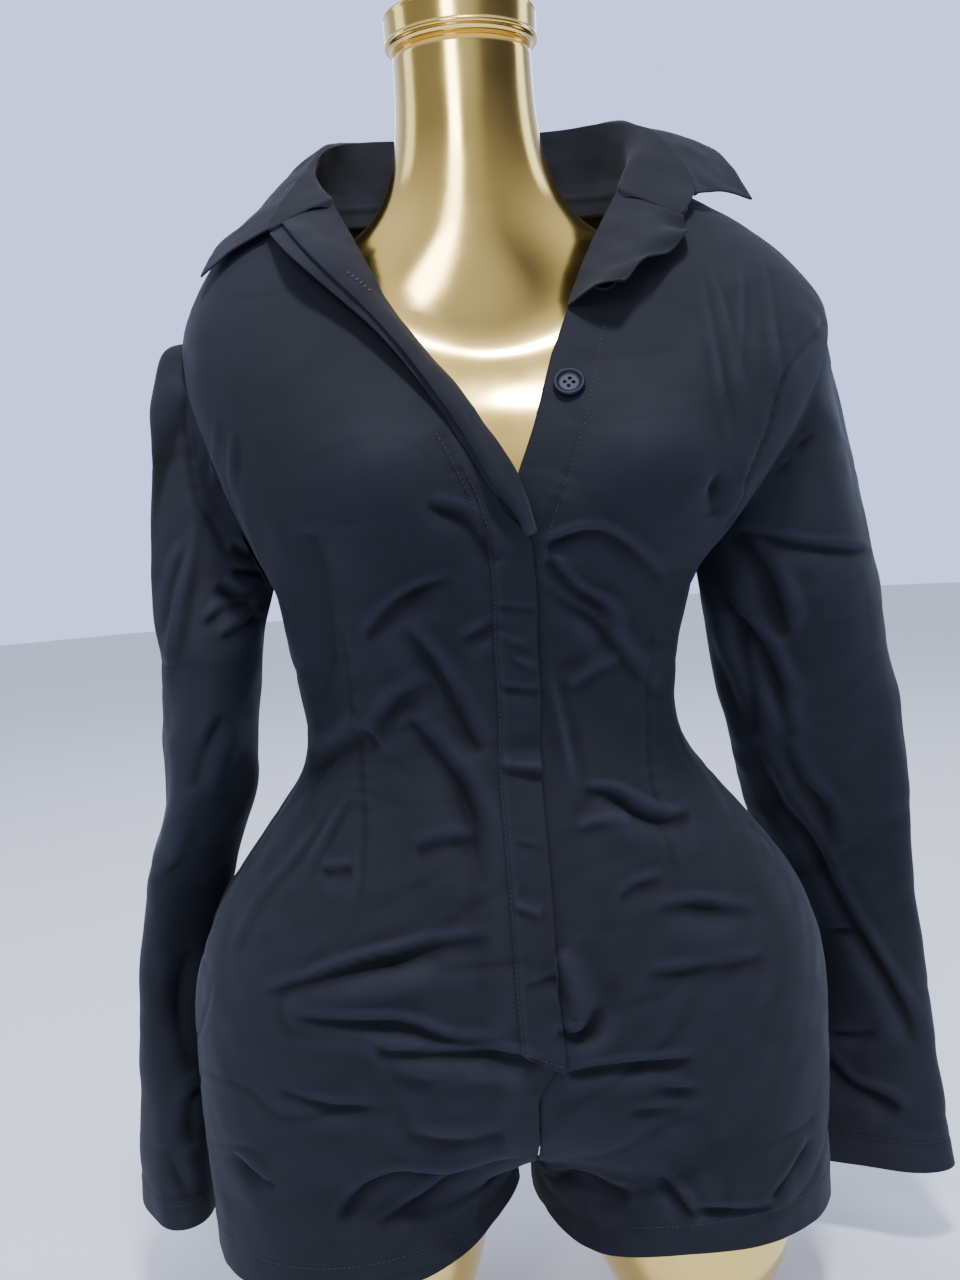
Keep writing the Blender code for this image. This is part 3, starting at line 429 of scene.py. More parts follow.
def ring_point(side, row, angle, inset=0.0, hang=1.0, legs=True):
    """Places on the body's rings. side: 1 is the wearer's left. hang: the share of the shift."""
    row, angle = np.broadcast_arrays(np.asarray(row, float), np.asarray(angle, float))
    ring = {column: curve(SECTION[column], row) for column in RING_COLUMNS}
    turn = np.radians(angle)
    across, along = np.sin(turn), np.cos(turn)
    ahead = along > 0
    reach = np.where(ahead, ring["front_y"] + inset, ring["back_y"] - inset) - ring["side_y"]
    reach_z = np.where(ahead, ring["front_z"], ring["back_z"]) - ring["side_z"]
    half = ring["half"] - inset
    full = 1 + SQUARE * np.sin(2 * turn) ** 2
    x = half * across * full
    y = ring["side_y"] + reach * np.abs(along) * full
    z = ring["side_z"] + reach_z * along * along
    if legs:
        leg = np.clip(ring["leg"], 0.0, 1.0)
        gap = np.interp(row, [ROW[name] for name in LEG_GAP], list(LEG_GAP.values())) + inset
        leg_half = (half - gap) / 2
        x = (1 - leg) * x + leg * (gap + leg_half - leg_half * np.cos(2 * turn))
        y = (1 - leg) * y + leg * (ring["side_y"] + LEG_DEPTH * reach * np.abs(np.sin(2 * turn)))
        for drop, at, wide in HEM_HANGS[side_name(side)]:
            hang_down = drop * np.exp(-(((angle - at) / wide) ** 2)) * ease(ROW["thigh"], ROW["hem"], row)
            z = z - np.where(ahead & (leg > 0), hang_down, 0)
    x = side * x + hang * ring["shift"]
    y = y - np.where(ahead, swell(x, z), 0)
    return np.stack((x, y, z), axis=-1)


def swell(x, z):
    """How far the soft forms of the chest and the largest folds stand out at places on the front."""
    total = np.zeros(x.shape)
    for at_x, at_z, wide, high, out in SWELLS:
        total += out * np.exp(-(((x - at_x) / wide) ** 2) - ((z - at_z) / high) ** 2)
    for x_from, z_from, x_to, z_to, wide, out in FOLDS:
        long_x, long_z = x_to - x_from, z_to - z_from
        length = math.hypot(long_x, long_z)
        along = ((x - x_from) * long_x + (z - z_from) * long_z) / length**2
        aside = ((x - x_from) * long_z - (z - z_from) * long_x) / length
        rise = out * np.sin(math.pi * np.clip(along, 0, 1)) ** 2
        total += rise * np.exp(-((aside / wide) ** 2))
    return total


def body_place(side, row, angle):
    """Places on the inner face of the body's cloth, and the directions out of it."""
    row, angle = np.broadcast_arrays(np.asarray(row, float), np.asarray(angle, float))
    place = ring_point(side, row, angle)
    down = ring_point(side, row + 0.08, angle) - ring_point(side, row - 0.08, angle)
    split = row >= ROW["seat"]
    less = np.where(split, np.clip(angle - 1.5, 0.02, 180), angle - 1.5)
    more = np.where(split, np.clip(angle + 1.5, 0, 179.98), angle + 1.5)
    out = np.cross(down, ring_point(side, row, more) - ring_point(side, row, less)) * side
    inner = (row < ROW["crotch"]) & (side * (place[..., 0] - curve(SECTION["shift"], row)) < CLOTH)
    out[..., 0] = np.where(inner, side * np.maximum(side * out[..., 0], 0), out[..., 0])
    return place, unit(out)


def angle_of(row, across):
    """A distance along a ring of the body, as an angle of the ring."""
    return np.degrees(across / curve(SECTION["half"], row))


def edge_angle(side, row):
    """The angle of the ring at which this side's front ends."""
    row = np.asarray(row, float)
    across = np.interp(row, range(len(ROW)), SECTION[f"{side_name(side)}_edge"])
    shift = side * curve(SECTION["shift"], row) * (1 - ease(ROW["hip"], ROW["seat"], row))
    return np.degrees(np.arcsin((across - shift) / curve(SECTION["half"], row)))


def arm_angle(side, row, back):
    """The armhole's angle at a row, in the front or in the back."""
    angle = curve(SECTION["arm_back" if back else f"arm_{side_name(side)}"], np.asarray(row, float))
    return np.maximum(angle, 90) if back else np.minimum(angle, 90)


def overlap_lift(row, x):
    """How far the right front is lifted where it lies over the left one at the closure."""
    closed = ease(ROW["shoulder_top"], ROW["arm_top"], row) - ease(ROW["seat"], ROW["thigh"], row)
    return LAYER * closed * ease(-0.036, -0.018, x)


def body_relief(place, out, row):
    """Creases, grooves and fine wrinkles of the body's cloth."""
    x, z = place[..., 0], place[..., 2]
    front, back = ease(0.05, 0.5, -out[..., 1]), ease(0.05, 0.5, out[..., 1])
    relief = front * (crease_relief(x, z, FRONT_CREASES) + groove_relief(x, z, FRONT_GROOVES))
    relief += back * (crease_relief(x, z, BACK_CREASES) + groove_relief(x, z, BACK_GROOVES))
    calm = 0.45 + 0.55 * ease(ROW["arm"], ROW["ribs"], row)
    relief += calm * (0.00045 * ripple(place, 0.055, 3) + 0.00016 * ripple(place, 0.021, 4))
    crumpled = ease(ROW["arm"], ROW["ribs"], row) * ease(-0.6, 0.6, ripple(place, 0.20, 21, 5))
    relief += (0.00025 + 0.00065 * crumpled) * crumple(place, 0.085, 22)
    side_seam = np.exp(-((out[..., 1] / 0.035) ** 2)) * ease(ROW["shoulder"], ROW["armpit"], row)
    return relief - 0.0005 * side_seam


def body_surface(side, row, angle, lift=0.0):
    """Places on the outer face of the body's cloth with all its relief, and the directions out of it."""
    place, out = body_place(side, row, angle)
    rise = CLOTH + lift + body_relief(place, out, np.asarray(row, float))
    return place + out * np.asarray(rise)[..., None], out


# ---------------------------------------------------------------- sleeves

# Each ring of a sleeve below the armhole: its height, how far out and how far back its middle is, its half
# widths outwards and forwards, and how many degrees its outer end is turned to the front.
SLEEVES = {
    "left": (
        (462, 194, 6, 57, 42, 0),
        (420, 200, 10, 57, 38, 6),
        (370, 210, 22, 56, 33, 14),
        (310, 228, 56, 55, 25, 32),
        (250, 245, 74, 50, 23, 38),
        (190, 254, 74, 51, 23, 38),
        (130, 254, 67, 54, 25, 34),
        (60, 252, 60, 58, 29, 30),
    ),
    "right": (
        (462, 182, 10, 30, 48, 0),
        (420, 188, 18, 29, 52, 0),
        (370, 196, 32, 28, 54, 0),
        (310, 214, 66, 24, 52, -10),
        (250, 226, 84, 22, 52, -12),
        (190, 232, 88, 23, 52, -12),
        (130, 237, 85, 25, 53, -8),
        (75, 240, 80, 27, 56, 0),
    ),
}
SLEEVE_UNITS = (MM, MM, MM, MM, MM, 1)
SLEEVE_CAP = 3  # rings between the armhole and the first row
# How the head of each sleeve leaves the armhole: how early it drops, and how far its crown stands out.
SLEEVE_HEAD = {"left": (1.0, 0.004), "right": (3.0, 0.0165)}
SLEEVE_FULL = {"left": 0.012, "right": 0.004}  # how far the front of a sleeve's head stands out
SLEEVE_ROWS = SLEEVE_CAP + len(SLEEVES["left"]) - 1
SEAM_ROW = 0.05  # the share of a body row that a sleeve stays off the ends of its armhole
ARMHOLE_TOP = 0.012  # the share of an armhole over which its front and back meet at the shoulder
SLEEVE_HEM = 0.020  # from a sleeve's edge up to its hem's stitch line
SLEEVE_FOLD = 0.0035  # how far the long folds of a sleeve stand in and out


def armhole_place(side, turn):
    """Places on the armhole, and the ways out of the body. turn: 0 at the shoulder, 0.5 at the armpit."""
    top, low = ROW["shoulder"], ROW["armpit"]
    ahead = turn <= 0.5
    row = np.clip(top + (low - top) * np.where(ahead, 2 * turn, 2 - 2 * turn), top + SEAM_ROW, low - SEAM_ROW)
    angle = np.where(ahead, arm_angle(side, row, False), arm_angle(side, row, True))
    meet = np.clip(np.minimum(turn, 1 - turn) / ARMHOLE_TOP, 0, 1)
    return body_place(side, row, 90 + (angle - 90) * meet)


def sleeve_ring(side, number, turn):
    """Places on a sleeve's rings, by the row number in SLEEVES, with the folds that run down it."""
    rows = np.array(SLEEVES[side_name(side)]) / SLEEVE_UNITS
    z, x, y, out, fore, lean = (curve(column, number) for column in rows.T)
    spin = math.tau * turn
    fold = SLEEVE_FOLD * np.sin(3 * spin + 0.9 * number + (0 if side > 0 else 2)) * ease(0, 2, number)
    along_out, along_fore = (out + fold) * np.cos(spin), (fore + fold) * np.sin(spin)
    tilt = np.radians(lean)
    place = (
        side * (x + along_out * np.cos(tilt) - along_fore * np.sin(tilt)),
        y - along_out * np.sin(tilt) - along_fore * np.cos(tilt),
        z,
    )
    return np.stack(place, axis=-1)


def sleeve_point(side, turn, down):
    """Places on the inner face of a sleeve. down: 0 at the armhole, SLEEVE_CAP at the first row, then rows.

    The cap leaves the front and back as one flush surface with them, and breaks from them under the arm.
    """
    turn = turn % 1.0
    start, body_out = armhole_place(side, turn)
    round_it = armhole_place(side, (turn + 0.02) % 1)[0] - armhole_place(side, (turn - 0.02) % 1)[0]
    over_top = armhole_place(side, (turn + 0.10) % 1)[0] - armhole_place(side, (turn - 0.10) % 1)[0]
    crest = np.exp(-((np.minimum(turn, 1 - turn) / 0.07) ** 2))[..., None]
    round_it = unit(round_it) * (1 - crest) + unit(over_top) * crest
    first, second = sleeve_ring(side, 0 * turn, turn), sleeve_ring(side, 0 * turn + 1, turn)
    early, crown = SLEEVE_HEAD[side_name(side)]
    from_top = np.minimum(turn, 1 - turn)
    flush = (1 - ease(0.26, 0.42, from_top)) * (1 if early == 1 else ease(0.02, 0.12, from_top))
    flush = flush[..., None]
    straight = first - start
    along = unit(np.cross(body_out, round_it)) * side
    away = unit(flush * along + (1 - flush) * unit(straight))
    bend = 1 - (body_out * unit(np.cross(round_it, away)) * side).sum(axis=-1, keepdims=True)
    start = start + body_out * (CLOTH * bend + 3 * SEAM * np.minimum(1.0, 8 * bend))
    straight = first - start
    share = np.clip(down / SLEEVE_CAP, 0, 1)
    rise = crown * np.sin(math.pi * share) * (0.5 + 0.5 * np.cos(math.tau * turn))
    share = (share ** (1 + (early - 1) * (1 - flush[..., 0])))[..., None]
    leave = straight * (1 - flush) + along * flush * 0.55 * np.linalg.norm(straight, axis=-1, keepdims=True)
    cap = smooth_step(start, leave, first, 1.5 * (second - first), share)
    cap[..., 0] += side * rise
    place = np.where(down[..., None] >= SLEEVE_CAP, sleeve_ring(side, down - SLEEVE_CAP, turn), cap)
    from_front = np.abs(turn - 0.24)
    from_front = np.minimum(from_front, 1 - from_front)
    full = SLEEVE_FULL[side_name(side)] * np.exp(-((from_front / 0.13) ** 2))
    full = full * np.sin(math.pi * np.clip(down / (SLEEVE_CAP + 1), 0, 1)) ** 2
    return place + full[..., None] * unit(np.array((0.45 * side, -1.0, 0.0)))


def sleeve_surface(side, turn, down):
    """Places on the outer face of a sleeve with its relief, and the directions out of it."""
    turn, down = np.broadcast_arrays(np.asarray(turn, float), np.asarray(down, float))
    place = sleeve_point(side, turn, down)
    round_it = sleeve_point(side, turn + 0.01, down) - sleeve_point(side, turn - 0.01, down)
    high, low = np.clip(down - 0.1, 0, SLEEVE_ROWS), np.clip(down + 0.1, 0, SLEEVE_ROWS)
    out = unit(np.cross(round_it, sleeve_point(side, turn, low) - sleeve_point(side, turn, high)) * side)
    x, z = place[..., 0], place[..., 2]
    relief = ease(0.0, 0.5, -out[..., 1]) * crease_relief(x, z, SLEEVE_CREASES[side_name(side)])
    relief += ease(0.0, 0.5, out[..., 1]) * crease_relief(side * x, z + 0.02 * side, SLEEVE_BACK_CREASES)
    relief += 0.0006 * ripple(place, 0.060, 5) + 0.00022 * ripple(place, 0.024, 6)
    relief += 0.0005 * crumple(place, 0.10, 23)
    joined = ease(0, 0.5, down)
    at_row = ROW["shoulder"] + (ROW["armpit"] - ROW["shoulder"]) * 2 * np.minimum(turn % 1, 1 - turn % 1)
    relief = relief * joined + body_relief(place, out, at_row) * (1 - joined)
    relief += ease(0.0, 0.5, -out[..., 1]) * groove_relief(x, z, SLEEVE_GROOVES[side_name(side)])
    hem_groove = np.exp(-(((z - hem_height(side, turn) - SLEEVE_HEM) / 0.002) ** 2))
    relief -= 0.0005 * hem_groove
    return place + out * (CLOTH + relief)[..., None], out


def hem_height(side, turn):
    """The height of a sleeve's edge."""
    return sleeve_point(side, turn, 0 * turn + SLEEVE_ROWS)[..., 2]


# ---------------------------------------------------------------- collar and turned-out fronts

NECK_ANGLES = {"back": 180, "back_side": 138, "side": 98, "shoulder": 76}
FRONT_STATIONS = {"turn": 0.0, "tab": 0.5, "end": 1.0}  # the share of the way along the turned-out front
# Stations along the collar, from the back to each front end: its fold (x, y, z) and the fall's edge.
COLLAR = {
    "left": {
        "back": (0, 78, 790, 0, 113, 744),
        "back_side": (64, 64, 789, 92, 95, 746),
        "side": (94, 30, 784, 132, 62, 752),
        "shoulder": (107, 14, 778, 150, 44, 761),
        "turn": (118, 2, 770, 160, 26, 763),
        "tab": (129, -16, 749, 169, 10, 746),
        "end": (133, -36, 725, 176, -4, 724),
    },
    "right": {
        "back": (0, 78, 790, 0, 113, 744),
        "back_side": (-62, 64, 787, -88, 98, 744),
        "side": (-84, 32, 776, -112, 62, 752),
        "shoulder": (-92, 14, 766, -127, 40, 742),
        "turn": (-102, -3, 753, -141, 20, 728),
        "tab": (-114, -24, 734, -157, -6, 708),
        "end": (-124, -41, 716, -165, -34, 689),
    },
}
LOFT_STEP = 0.02  # the step over which a lofted sheet's directions are taken
TURNED_ARCH = 0.005  # how far a turned-out front arches off the front below it
# The outer edge of each turned-out front, against the rows of the body whose edge it folds at.
TURNED = {
    "left": {
        "neckline": (120, -47, 705.5),
        "collar_bone": (116, -66, 691),
        "yoke": (71, -98, 666),
    },
    "right": {
        "neckline": (-122, -44, 708.5),
        "collar_bone": (-110, -72, 690),
        "yoke": (-74, -92, 654),
        "yoke_low": (-53, -103, 627),
        "shoulder_top": (-35, -112, 599),
        "shoulder": (-23, -119, 577),
        "arm_top": (-11, -123, 556),
        "arm": (0, -123.5, 543),
        "arm_low": (8.8, -119.5, 528.5),
    },
}


def loft_point(lines, u, v):
    """Places on a smooth sheet through lines of points: u goes along a line and v over the lines."""
    lines = np.asarray(lines, float)
    u, v = np.clip(u, 0.0, 1.0), np.clip(v, 0.0, 1.0)
    stack = np.stack([curve(line, u * (len(line) - 1)) for line in lines])
    at = v * (len(lines) - 1)
    low = np.minimum(at.astype(int), len(lines) - 2)
    index = tuple(np.indices(low.shape))
    before, here, there, after = (
        stack[(np.clip(low + number, 0, len(lines) - 1), *index)] for number in (-1, 0, 1, 2)
    )
    return smooth_step(here, (there - before) / 2, there, (after - here) / 2, (at - low)[..., None])


def loft(lines):
    """A function of u and v: places on the sheet through these lines, and the directions out of it."""

    def place(u, v):
        u, v = np.broadcast_arrays(np.asarray(u, float), np.asarray(v, float))
        along = loft_point(lines, u + LOFT_STEP, v) - loft_point(lines, u - LOFT_STEP, v)
        down = loft_point(lines, u, v + LOFT_STEP) - loft_point(lines, u, v - LOFT_STEP)
        return loft_point(lines, u, v), unit(np.cross(down, along))

    return place


def turned_place(side):
    """The back of a turned-out front, from its fold to an outer edge that stands off the front below it."""
    fold, middle, rim = [], [], []
    for name, outer in TURNED[side_name(side)].items():
        point, out = body_place(side, ROW[name], edge_angle(side, ROW[name]))
        rise = overlap_lift(ROW[name], point[0]) if side < 0 else 0.0
        begin, end = point + out * (LAYER + rise), metres(outer)
        arch = 0.0 if name == "neckline" else TURNED_ARCH
        fold.append(begin)
        middle.append((begin + end) / 2 + out * arch)
        rim.append(end)
    return loft([rim, middle, fold] if side > 0 else [fold, middle, rim])


def collar_foot(side, station):
    """The collar's foot at a station, just over the neckline or the turned-out front."""
    over = np.array((0, 0, 3 * SEAM))
    if station in NECK_ANGLES:
        point, out = body_place(side, 0, NECK_ANGLES[station])
        return point + np.array((0, 0, CLOTH * out[2])) + over
    share = FRONT_STATIONS[station]
    point, out = turned_place(side)(0, 1 - share if side > 0 else share)
    return point + out * (CLOTH + 3 * SEAM + (0 if side > 0 else LAYER)) + over


def collar_lines():
    """The foot, the fold and the fall's edge, each from the wearer's right end round the back to the left."""
    stations = list(COLLAR["left"])
    walk = [(-1, name) for name in reversed(stations)] + [(1, name) for name in stations[1:]]
    foot = [collar_foot(side, name) for side, name in walk]
    rows = metres([COLLAR[side_name(side)][name] for side, name in walk])
    return foot, rows[:, :3], rows[:, 3:]


# ---------------------------------------------------------------- sheets of cloth

HOLLOW_REACH = 3  # how many corners of a grid its hollows are read over
HOLLOW_DEPTH = 0.0011  # the depth of a full hollow under the cloth around it
MERGE = 1e-5  # corners nearer than this, where a sheet's edges meet, become one


def mesh_of(name, shape):
    """A mesh from a bmesh, which ends here."""
    mesh = bpy.data.meshes.new(name)
    shape.to_mesh(mesh)
    shape.free()
    return mesh


def placed(name, data):
    """A new object in the scene, from a mesh, a light or a camera."""
    made = bpy.data.objects.new(name, data)
    bpy.context.scene.collection.objects.link(made)
    return made


def new_object(name, shape):
    """A smooth object from a bmesh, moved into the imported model's frame."""
    bmesh.ops.translate(shape, verts=shape.verts, vec=(-MIDDLE[0], -MIDDLE[1], 0))
    made = placed(name, mesh_of(name, shape))
    made.data.shade_smooth()
    return made


def hollows(places, outs, u, v, across, down, wrap):
    """How far each place of a grid lies in a hollow of the cloth: 1 deep in a crease, below 0 on a ridge. The
    cloth's material paints shade into its colour by this, darker in the creases, and a highlight, paler on the
    ridges.
    """
    order = np.lexsort((u, v))
    shape = (down + 1, across + 1, 3)
    grid, out = places[order].reshape(shape), outs[order].reshape(shape)
    beyond = (HOLLOW_REACH, HOLLOW_REACH)
    around = np.pad(grid, (beyond, (0, 0), (0, 0)), mode="reflect", reflect_type="odd")
    if wrap:
        around = np.pad(around[:, :-1], ((0, 0), (HOLLOW_REACH, HOLLOW_REACH + 1), (0, 0)), mode="wrap")
    else:
        around = np.pad(around, ((0, 0), beyond, (0, 0)), mode="reflect", reflect_type="odd")
    steps = range(2 * HOLLOW_REACH + 1)
    rows = sum(around[step : step + shape[0]] for step in steps) / len(steps)
    mean = sum(rows[:, step : step + shape[1]] for step in steps) / len(steps)
    found = np.empty(len(places))
    found[order] = (((mean - grid) * out).sum(axis=-1) / HOLLOW_DEPTH).ravel()
    return np.clip(found, -1, 1)


def add_sheet(name, across, down, surface, flat, wrap=False, thickness=SHEET):
    """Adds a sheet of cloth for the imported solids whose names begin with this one.

    Its outer face is surface(u, v), with u and v from 0 to 1 across and down. flat is its width and length on
    the cloth's map. A wrapped sheet is closed round.
    """
    shape = bmesh.new()
    bmesh.ops.create_grid(shape, x_segments=across, y_segments=down, size=0.5)
    cloth_map = shape.loops.layers.uv.new("cloth")
    # how deep each corner lies in a crease: the cloth's material paints shade into the creases and a highlight
    # onto the ridges by it
    hollow = shape.verts.layers.float.new("hollow")
    flat_places = np.array([corner.co for corner in shape.verts])
    u, v = np.round(flat_places[:, 0] + 0.5, 6), np.round(0.5 - flat_places[:, 1], 6)
    for face in shape.faces:
        for loop in face.loops:
            loop[cloth_map].uv = ((loop.vert.co.x + 0.5) * flat[0], (loop.vert.co.y + 0.5) * flat[1])
    places, outs = surface(u, v)
    for corner, place, depth in zip(shape.verts, places, hollows(places, outs, u, v, across, down, wrap)):
        corner.co = place
        corner[hollow] = depth
    shape.normal_update()
    half = len(outs) // 2
    middle = min(shape.faces, key=lambda face: (face.calc_center_median() - Vector(places[half])).length)
    if middle.normal.dot(Vector(outs[half])) < 0:
        bmesh.ops.reverse_faces(shape, faces=shape.faces)
    if wrap:
        bmesh.ops.remove_doubles(shape, verts=shape.verts, dist=MERGE)
    made = new_object(f"suiting_{name}", shape)
    solid = made.modifiers.new("cloth thickness", "SOLIDIFY")
    solid.thickness = thickness
    solid.offset = -1
    solid.use_rim = True
    finish_piece(made, "suiting", *(node for node in frame["nodes"] if node.startswith(name)))


# ---------------------------------------------------------------- materials


class NodeMaker:
    """Adds nodes to a shader tree. An input is a number, a colour or another node's output."""

    def __init__(self, tree):
        self.tree = tree

    def put(self, socket, value):
        """Links an output to a socket, or gives the socket a value."""
        if isinstance(value, bpy.types.NodeSocket):
            self.tree.links.new(value, socket)
        else:
            socket.default_value = value

    def fill(self, node, **values):
        """Small letters name the node's own settings. A name with a capital is one of its inputs."""
        for name, value in values.items():
            if name.islower():
                setattr(node, name, value)
            else:
                self.put(node.inputs[name.replace("_", " ")], value)
        return node.outputs

    def node(self, kind, **values):
        """Adds a node of this kind, and gives back its outputs."""
        return self.fill(self.tree.nodes.new(f"ShaderNode{kind}"), **values)

    def noise(self, place, scale, detail, **more):
        return self.node("TexNoise", Vector=place, Scale=scale, Detail=detail, **more)["Fac"]

    def calculate(self, operation, *values):
        node = self.tree.nodes.new("ShaderNodeMath")
        node.operation = operation
        for socket, value in zip(node.inputs, values):
            self.put(socket, value)
        return node.outputs[0]

    def spread(self, value, low, high, to_low=0.0, to_high=1.0, way="LINEAR"):
        """A value between low and high, spread between to_low and to_high."""
        ends = {"From_Min": low, "From_Max": high, "To_Min": to_low, "To_Max": to_high}
        return self.node("MapRange", interpolation_type=way, Value=value, **ends)["Result"]

    def mix(self, factor, first, second):
        return self.node("Mix", data_type="RGBA", Factor=factor, A=first, B=second)["Result"]

    def bump(self, height, strength, distance, **more):
        return self.node("Bump", Height=height, Strength=strength, Distance=distance, **more)["Normal"]


def new_material(name):
    """A material, its Principled shader, what adds nodes to it, and places in the object's own space."""
    material = bpy.data.materials.new(name)
    material.use_nodes = True
    add = NodeMaker(material.node_tree)
    return material, material.node_tree.nodes["Principled BSDF"], add, add.node("TexCoord")["Object"]


def shade(colour, *factors):
    """A colour with its parts multiplied by one factor, or each by its own."""
    parts = factors if len(factors) == 3 else 3 * factors
    return (*(min(part * factor, 1.0) for part, factor in zip(colour, parts)), 1)


def suiting_material(name, settings):
    """Black woven suiting: fine threads with a crepe grain, a matte face and a cool bloom at its edges, with
    painted shade in its creases and a painted highlight on its ridges.
    """
    material, shader, add, space = new_material(name)
    cloth = add.node("UVMap", uv_map="cloth")["UV"]
    weave = {"Vector": cloth, "Scale": 430.0, "Distortion": 1.6, "Detail": 1.0, "Detail_Scale": 2.0}
    threads = [add.node("TexWave", bands_direction=direction, **weave)["Fac"] for direction in ("X", "Y")]
    grain = add.noise(space, 900.0, 3.0, Roughness=0.6)
    cloud = add.noise(space, 9.0, 4.0, Roughness=0.55)
    tone = add.spread(add.calculate("MULTIPLY_ADD", grain, 0.5, cloud), 0.45, 1.05)
    dyed = add.mix(tone, shade(settings.colour, 0.8), shade(settings.colour, 1.25))
    hollow = add.node("Attribute", attribute_name="hollow")["Fac"]
    painted_shade_and_highlight = add.spread(hollow, -1.0, 1.0, 1.20, 0.28)  # painted highlight: the colour is paler on a ridge; painted shade: it is darker in a crease
    crumples = add.noise(space, 26.0, 4.0, noise_type="RIDGED_MULTIFRACTAL", normalize=False, Roughness=0.5)
    bumps = add.bump(crumples, 0.8, 0.0048)
    bumps = add.bump(add.calculate("MULTIPLY", *threads), 0.35, 0.00012, Normal=bumps)
    add.fill(
        shader,
        Base_Color=add.node("VectorMath", operation="SCALE", Vector=dyed, Scale=painted_shade_and_highlight)["Vector"],
        Roughness=add.spread(grain, 0.0, 1.0, settings.roughness - 0.06, settings.roughness + 0.08),
        Sheen_Weight=settings.sheen,
        Sheen_Roughness=0.42,
        Sheen_Tint=(0.70, 0.80, 1.0, 1.0),
        Specular_IOR_Level=0.20,
        Normal=add.bump(grain, 0.30, 0.00010, Normal=bumps),
    )
    return material


def gold_material(name, settings):
    """Pale gold plating over a moulded shell: a near mirror with faint waves and smears."""
    material, shader, add, space = new_material(name)
    smear, colour = add.noise(space, 22.0, 5.0, Roughness=0.6), settings.colour
    add.fill(
        shader,
        Roughness=add.spread(smear, 0.35, 0.75, settings.roughness, settings.roughness + 0.07),
        Base_Color=add.mix(smear, shade(colour, 0.97, 0.96, 0.90), shade(colour, 1, 1, 1.08)),
        Metallic=1.0,
        Normal=add.bump(add.noise(space, 14.0, 1.0), 0.25, 0.0012),
    )
    return material


def button_material(name, settings):
    """Near-black navy resin with a dull face and a faint cloud in its colour."""
    material, shader, add, space = new_material(name)
    colour = settings.button_colour
    cloudy = add.mix(add.noise(space, 260.0, 3.0), shade(colour, 1), shade(colour, 1.8))
    add.fill(shader, Base_Color=cloudy, Roughness=0.46, Specular_IOR_Level=0.16)
    return material


def thread_material(name, settings):
    """Black sewing thread with a slight twist and shine."""
    material, shader, add, space = new_material(name)
    colour = settings.thread_colour
    twist = add.node("TexWave", Vector=space, Scale=700.0, Distortion=0.5)["Fac"]
    twisted = add.mix(twist, shade(colour, 0.6), shade(colour, 1))
    add.fill(shader, Base_Color=twisted, Roughness=0.5, Normal=add.bump(twist, 0.4, 0.00008))
    return material


# Each finish: its material's name and maker, the settings that it takes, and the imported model's slot.
FINISHES = {
    "suiting": ("black_suiting_cloth", suiting_material, "romper_cloth", "black_suiting"),
    "gold": ("pale_gold_plating", gold_material, "romper_form", "gold_plating"),
    "button": ("navy_button_resin", button_material, "romper_trim", "navy_button"),
    "thread": ("black_thread", thread_material, "romper_trim", "black_suiting"),
}


def finish_piece(piece, finish, *nodes):
    """Gives the piece its finish, rides it on the body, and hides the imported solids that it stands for."""
    name, maker, group, slot = FINISHES[finish]
    piece.data.materials.clear()
    settings = getattr(bpy.context.scene, group)
    piece.data.materials.append(bpy.data.materials.get(name) or maker(name, settings))
    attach(piece, "root")
    if nodes:
        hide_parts(*nodes)


# ---------------------------------------------------------------- settings


def colour_setting(name, description, default):
    return bpy.props.FloatVectorProperty(
        name=name, description=description, subtype="COLOR", default=default, min=0, max=1
    )


def amount_setting(name, description, default, low=0.0, high=1.0, **more):
    return bpy.props.FloatProperty(
        name=name, description=description, default=default, min=low, max=high, **more
    )


class ROMPER_PG_cloth(bpy.types.PropertyGroup):
    """The suiting."""

    colour: colour_setting("Colour", "Colour of the suiting", (0.0122, 0.0140, 0.0232))
    roughness: amount_setting("Roughness", "How matte the suiting is", 0.80, subtype="FACTOR")
    sheen: amount_setting("Bloom", "How strong the pale bloom of the cloth is", 0.06, subtype="FACTOR")


class ROMPER_PG_form(bpy.types.PropertyGroup):
    """The dress form."""

    colour: colour_setting("Colour", "Colour of the plating", (0.97, 0.70, 0.22))
    roughness: amount_setting("Roughness", "How dull the plating is", 0.15, subtype="FACTOR")


class ROMPER_PG_trim(bpy.types.PropertyGroup):
    """The buttons and the sewing thread."""

    button_colour: colour_setting("Button", "Colour of the buttons", (0.006, 0.008, 0.018))
    thread_colour: colour_setting("Thread", "Colour of the thread", (0.020, 0.022, 0.030))
    stitch_length: amount_setting("Stitch", "Length of one stitch", 0.0022, 0.001, 0.005, unit="LENGTH")
    stitch_pitch: amount_setting("Pitch", "From one stitch to the next", 0.0030, 0.002, 0.008, unit="LENGTH")


class ROMPER_PG_stage(bpy.types.PropertyGroup):
    """The floor, the lights and the camera."""

    colour: colour_setting("Floor", "Colour of the floor", (0.78, 0.83, 0.97))
    light: amount_setting("Light", "Strength of the studio lights", 1.0, 0, 10)
    lens: amount_setting("Lens", "Focal length of the camera", 38.0, 10, 200, subtype="DISTANCE_CAMERA")


# ---------------------------------------------------------------- the stage

FLOOR_RADIUS = 6.0
CAMERA_PLACE = (-0.0959, -0.8680, 0.55)
CAMERA_TURN = {"heading": 4.688, "down": 6.0, "roll": 3.765}  # degrees
